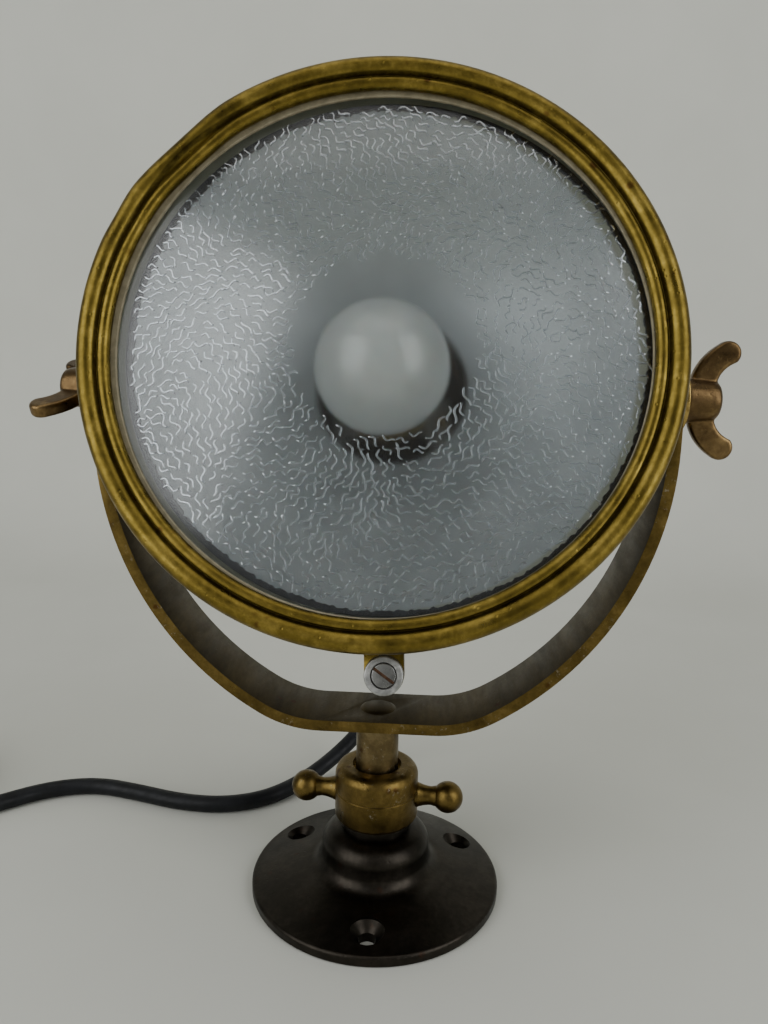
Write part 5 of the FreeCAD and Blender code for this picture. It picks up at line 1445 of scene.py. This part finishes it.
@dataclass
class Projector:
    """The head behind the glass: dish, bulb, spun housing, hinge ring, gland and signal key."""

    focus: float = 33.5
    vertex: float = -17.2
    dish_radius: float = DISH_RADIUS
    dish_hole: float = 27.9
    dish_wall: float = 1.0
    dish_neck: float = 7.0
    dish_shift: float = 2.0
    flange_radius: float = 85.4
    flange: Point = (30.0, 30.8)
    flange_step: float = 0.2
    flange_root: float = 0.6
    bulb_radius: float = 22.5
    bulb_centre: float = 14.8
    neck_radius: float = 10.6
    neck_end: float = -24.0
    shoulder: tuple[Point, ...] = ((14.6, -2.6), (12.7, -5.0), (11.4, -7.6), (10.75, -10.4), (10.6, -13.0))
    spring_foot: float = 71.0
    spring_keep: float = 0.71

    def build(self, palette: Palette) -> None:
        """Make the head."""
        self.dish(palette)
        self.bulb(palette)
        self.shell(palette)
        self.fittings(palette)

    def depth(self, radius: float) -> float:
        """Place of the dish's front face along the axis at a radius."""
        return self.vertex + radius**2 / (4 * self.focus)

    def dish(self, palette: Palette) -> None:
        """Turn the parabolic dish with its flange."""
        rear, front = self.flange
        neck = self.depth(self.dish_hole) - self.dish_neck
        outline = [(self.dish_hole, neck)]
        outline += curve_between(self.depth, self.dish_hole, self.dish_radius, 40)
        outline.append((self.dish_radius + self.flange_step, front))
        outline += [(self.flange_radius, front), (self.flange_radius, rear)]
        outer_hole = self.dish_hole + self.dish_wall
        root = self.dish_radius - self.flange_root
        outline += curve_between(lambda r: self.depth(r) - self.dish_wall, root, outer_hole, 24)
        outline.append((outer_hole, neck))
        dish = Bench.lathe("dish", outline, Axis.OPTICAL, steps=192)
        dish.data.transform(HEAD_PLACE @ Matrix.Translation((self.dish_shift * MM, 0, 0)))
        finish(dish, palette.silver, "head", "silvered", "reflector")

    def bulb(self, palette: Palette) -> None:
        """Blow the round opal bulb down into its neck."""
        outline = arc((0, self.bulb_centre), self.bulb_radius, 90.0, -42.0, 32)
        outline[0] = (0.0, self.bulb_centre + self.bulb_radius)
        outline += self.shoulder
        outline += [(self.neck_radius, self.neck_end), (0.0, self.neck_end)]
        bulb = Bench.lathe("bulb", outline, Axis.OPTICAL)
        bulb.data.transform(HEAD_PLACE)
        finish(bulb, palette.opal, "head", "opal_glass", "bulb_glass")
        dress(palette.bright, "bulb_cap")
        dress(palette.glass, "bulb_stem")
        dress(palette.steel, "filament")

    def shell(self, palette: Palette) -> None:
        """Smooth the spun shell, its front ring and the side bosses."""
        shell = Bench.smoothed("housing_shell", "shell")
        finish(shell, palette.bronze, "head", "dark_bronze", "housing_shell")
        ring = Bench.smoothed("body_ring", "hinge_ring")
        finish(ring, palette.bronze, "head", "dark_bronze", "body_ring")
        bosses = Bench.smoothed("pivot_bosses", "side_bosses")
        finish(bosses, palette.brass, "head", "aged_brass", "pivot_bosses")
        studs = Bench.smoothed("pivot_studs", "side_studs")
        finish(studs, palette.nut, "head", "steel", "pivot_studs")
        dress(palette.fibre, "friction_discs", "key_insulator")
        dress(palette.steel, "hinge_pin", "holder_bracket")
        dress(palette.bright, "lampholder_shell", "lampholder_ring", "lampholder_plungers", "bracket_screws")
        dress(palette.bright, "terminal_screws", "key_contacts", "key_bridge")
        dress(palette.ceramic, "lampholder_core", "terminal_block")
        dress(palette.rubber, "inner_wires")

    def fittings(self, palette: Palette) -> None:
        """Smooth the gland, the strain relief and the signal key."""
        for node, name, body, material, slot in (
            ("gland_body", "gland", "head", palette.bright, "bright_brass"),
            ("gland_nut", "gland_cap", "head", palette.bright, "bright_brass"),
            ("strain_relief", "relief", "head", palette.rubber, "black_rubber"),
            ("key_housing", "key_barrel", "head", palette.brass, "aged_brass"),
            ("key_button", "key_knob", "key_button", palette.plastic, "black_plastic"),
        ):
            finish(Bench.smoothed(node, name), material, body, slot, node)
        spring = Bench.smoothed("key_spring", "return_spring")
        finish(spring, palette.steel, "head", "steel", "key_spring")
        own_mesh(spring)


@dataclass
class Yoke:
    """Flat strap bent to a U on the post, with its washers and wing nuts.

    The hub's rounding is given by steps out from the end's radius and back from the end. The lobe's root is
    given in shares of the lobe's radius.
    """

    flat_half: float = 20.4
    bottom: float = 67.5
    corner_radius: float = 44.0
    flank_radius: float = 115.0
    half_span: float = 99.5
    thickness: float = 4.0
    width: float = 27.0
    pivot: float = PIVOT_HEIGHT
    end_stations: int = 13
    end_step: float = 7.0
    hole_radius: float = 4.1
    tenon_radius: float = 6.06
    hub_inner: float = 102.5
    hub_length: float = 12.1
    hub_radius: float = 7.9
    hub_end_radius: float = 6.6
    hub_rounding: tuple[Point, ...] = ((0.3, 2.6), (-0.2, 1.0), (-1.2, 0.2))
    wing_thickness: float = 4.7
    wing_feet: tuple[Point, Point] = ((1.8, 5.2), (10.6, 4.6))
    wing_bows: Point = (1.9, -1.6)
    lobe_radius: float = 4.3
    lobe: Point = (13.8, 15.9)
    lobe_root: Point = (-0.66, 0.75)
    lobe_sweep: Point = (131.0, -41.0)
    left_wing_angle: float = 25.0

    def build(self, palette: Palette) -> None:
        """Make the strap, the post and the nuts."""
        self.strap(palette)
        post = Bench.smoothed("post", "pillar")
        finish(post, palette.post, "yoke", "aged_brass", "post")
        post.data.materials.append(palette.strap)
        for face in post.data.polygons:
            face.material_index = int(face.center.z > (self.bottom + self.thickness / 2) * MM)
        dress(palette.steel, "post_stop_washer", "post_stop_screw")
        for side in ("right", "left"):
            washer = Bench.smoothed(f"pivot_washer_{side}", f"washer_{side}")
            finish(washer, palette.bright, f"washer_{side}", "bright_brass", f"pivot_washer_{side}")
        self.nuts(palette)

    def stations(self) -> list[Triple]:
        """Stations of the strap's outer face from the left end to the right: x, z and half width."""
        flank_x = self.half_span - self.flank_radius
        corner_z = self.bottom + self.corner_radius
        gap = self.flank_radius - self.corner_radius
        flank_z = corner_z + math.sqrt(gap**2 - (self.flat_half - flank_x) ** 2)
        joint = math.degrees(math.atan2(corner_z - flank_z, self.flat_half - flank_x))
        half = self.width / 2
        right = [(0.0, self.bottom, half)]
        corner = arc((self.flat_half, corner_z), self.corner_radius, -90.0, joint, 10)
        flank = arc((flank_x, flank_z), self.flank_radius, joint, 0.0, 26)[1:]
        right += [(x, z, half) for x, z in corner + flank]
        for step in range(self.end_stations):
            turn = math.radians(step * self.end_step)
            right.append((self.half_span, self.pivot + half * math.sin(turn), half * math.cos(turn)))
        return [(-x, z, w) for x, z, w in reversed(right[1:])] + right

    def strap(self, palette: Palette) -> None:
        """Draw the strap's outer face row by row, thicken it inwards, drill it and ease its edges."""
        stations = self.stations()
        x, z, width = stations[0]
        start = [Vector((x, -width, z)) * MM, Vector((x, width, z)) * MM]
        strap = Bench.chain("strap", start)
        bpy.ops.mesh.select_all(action="SELECT")
        for before, after in zip(stations, stations[1:]):
            move = Vector((after[0] - before[0], 0, after[1] - before[1])) * MM
            bpy.ops.mesh.extrude_region_move(TRANSFORM_OT_translate={"value": move})
            bpy.ops.transform.resize(value=(1, after[2] / before[2], 1))
        bpy.ops.mesh.select_all(action="SELECT")
        bpy.ops.mesh.normals_make_consistent(inside=False)
        bpy.ops.object.mode_set(mode="OBJECT")
        middle = min(strap.data.polygons, key=lambda face: (face.center.z, abs(face.center.x)))
        if middle.normal.z > 0:
            Bench.edit(strap)
            bpy.ops.mesh.flip_normals()
        Bench.modify(strap, "SOLIDIFY", thickness=self.thickness * MM, offset=-1.0, use_even_offset=True)
        for side in (1, -1):
            low, high = sorted((side * (self.half_span - 8), side * (self.half_span + 3)))
            hole = Bench.rod("hole", self.hole_radius, Axis.PIVOT, low, high, Vector((0, 0, self.pivot)))
            Bench.combine(strap, hole)
        low, high = self.bottom - 3, self.bottom + 8
        tenon = Bench.rod("tenon", self.tenon_radius, Axis.UPRIGHT, low, high, Vector((0, 0, 0)))
        Bench.combine(strap, tenon)
        Bench.ease(strap, 0.55, segments=3, angle=40.0)
        finish(strap, palette.strap, "yoke", "aged_brass", "yoke_strap")
        strap.data.materials.append(palette.collar)
        for face in strap.data.polygons:
            face.material_index = int(abs(face.normal.y) > 0.6)

    def wing_nut(self) -> Piece:
        """Cast wing nut along X with its wings up and down, inner face at the origin."""
        bore, end = self.hole_radius, self.hub_length
        outline = [(bore, 0), (self.hub_radius, 0)]
        outline += [(self.hub_end_radius + out, end - back) for out, back in self.hub_rounding]
        outline.append((bore, end))
        nut = Bench.lathe("nut", outline, Axis.PIVOT, steps=64)
        for side in (1, -1):
            wing = self.wing()
            if side < 0:
                wing.data.transform(Matrix.Rotation(math.pi, 4, "X"))
            Bench.combine(nut, wing, "UNION")
        Bench.modify(nut, "REMESH", mode="VOXEL", voxel_size=0.42 * MM)
        Bench.modify(nut, "SMOOTH", factor=0.5, iterations=5)
        return Bench.smooth(nut, 60.0)

    def wing(self) -> Piece:
        """One horn-shaped wing with a round lobe, standing up from the hub."""
        inner_foot, outer_foot = self.wing_feet
        inner_bow, outer_bow = self.wing_bows
        (out, up), (back, rise) = self.lobe, self.lobe_root
        root = (out + self.lobe_radius * back, up + self.lobe_radius * rise)
        points = [inner_foot, *bowed(inner_foot, root, inner_bow)]
        points += arc(self.lobe, self.lobe_radius, *self.lobe_sweep, 14)[1:]
        points += bowed(points[-1], outer_foot, outer_bow)
        line = [Vector((x, -self.wing_thickness / 2, z)) * MM for x, z in points]
        wing = Bench.chain("wing", line)
        bpy.ops.mesh.select_all(action="SELECT")
        bpy.ops.mesh.edge_face_add()
        bpy.ops.mesh.extrude_region_move(TRANSFORM_OT_translate={"value": (0, self.wing_thickness * MM, 0)})
        Bench.tidy(wing)
        return Bench.ease(wing, 1.5, segments=4, angle=50.0)

    def nuts(self, palette: Palette) -> None:
        """Copy the wing nut to both sides, the left one with a wing forward."""
        nut = self.wing_nut()
        height = self.pivot * MM
        right = Bench.copy(nut, "wing_nut_cast_right", Matrix.Translation((self.hub_inner * MM, 0, height)))
        turned = (
            Matrix.Translation((-self.hub_inner * MM, 0, height))
            @ Matrix.Rotation(math.radians(90 + self.left_wing_angle), 4, "X")
            @ Matrix.Rotation(math.pi, 4, "Z")
        )
        left = Bench.copy(nut, "wing_nut_cast_left", turned)
        bpy.data.objects.remove(nut, do_unlink=True)
        finish(right, palette.nut, "nut_right", "dark_bronze", "wing_nut_right")
        finish(left, palette.nut, "nut_left", "dark_bronze", "wing_nut_left")


@dataclass
class Stand:
    """Turned base with its neck, and the clamp collar with two ball-ended arms."""

    def build(self, palette: Palette) -> None:
        """Make the base and the clamp."""
        base = Bench.smoothed("base_flange", "foot")
        finish(base, palette.base, "base", "dark_bronze", "base_flange")
        collar = Bench.smoothed("clamp_nut", "collar")
        finish(collar, palette.collar, "clamp_nut", "aged_brass", "clamp_nut")
        arms = Bench.smoothed("clamp_arms", "collar_arms")
        finish(arms, palette.collar, "clamp_nut", "aged_brass", "clamp_arms")
        dress(palette.bright, "post_collet", "clamp_ring")


def main() -> None:
    """Build the lamp and its setting."""
    logging.basicConfig(level=logging.INFO, format="%(message)s")
    palette = Palette()
    Studio().build()
    Flex().build(palette)
    Stand().build(palette)
    Yoke().build(palette)
    Projector().build(palette)
    Bezel().build(palette)
    Glazing().build(palette)
    Bench.clear()


if __name__ == "__main__":
    main()
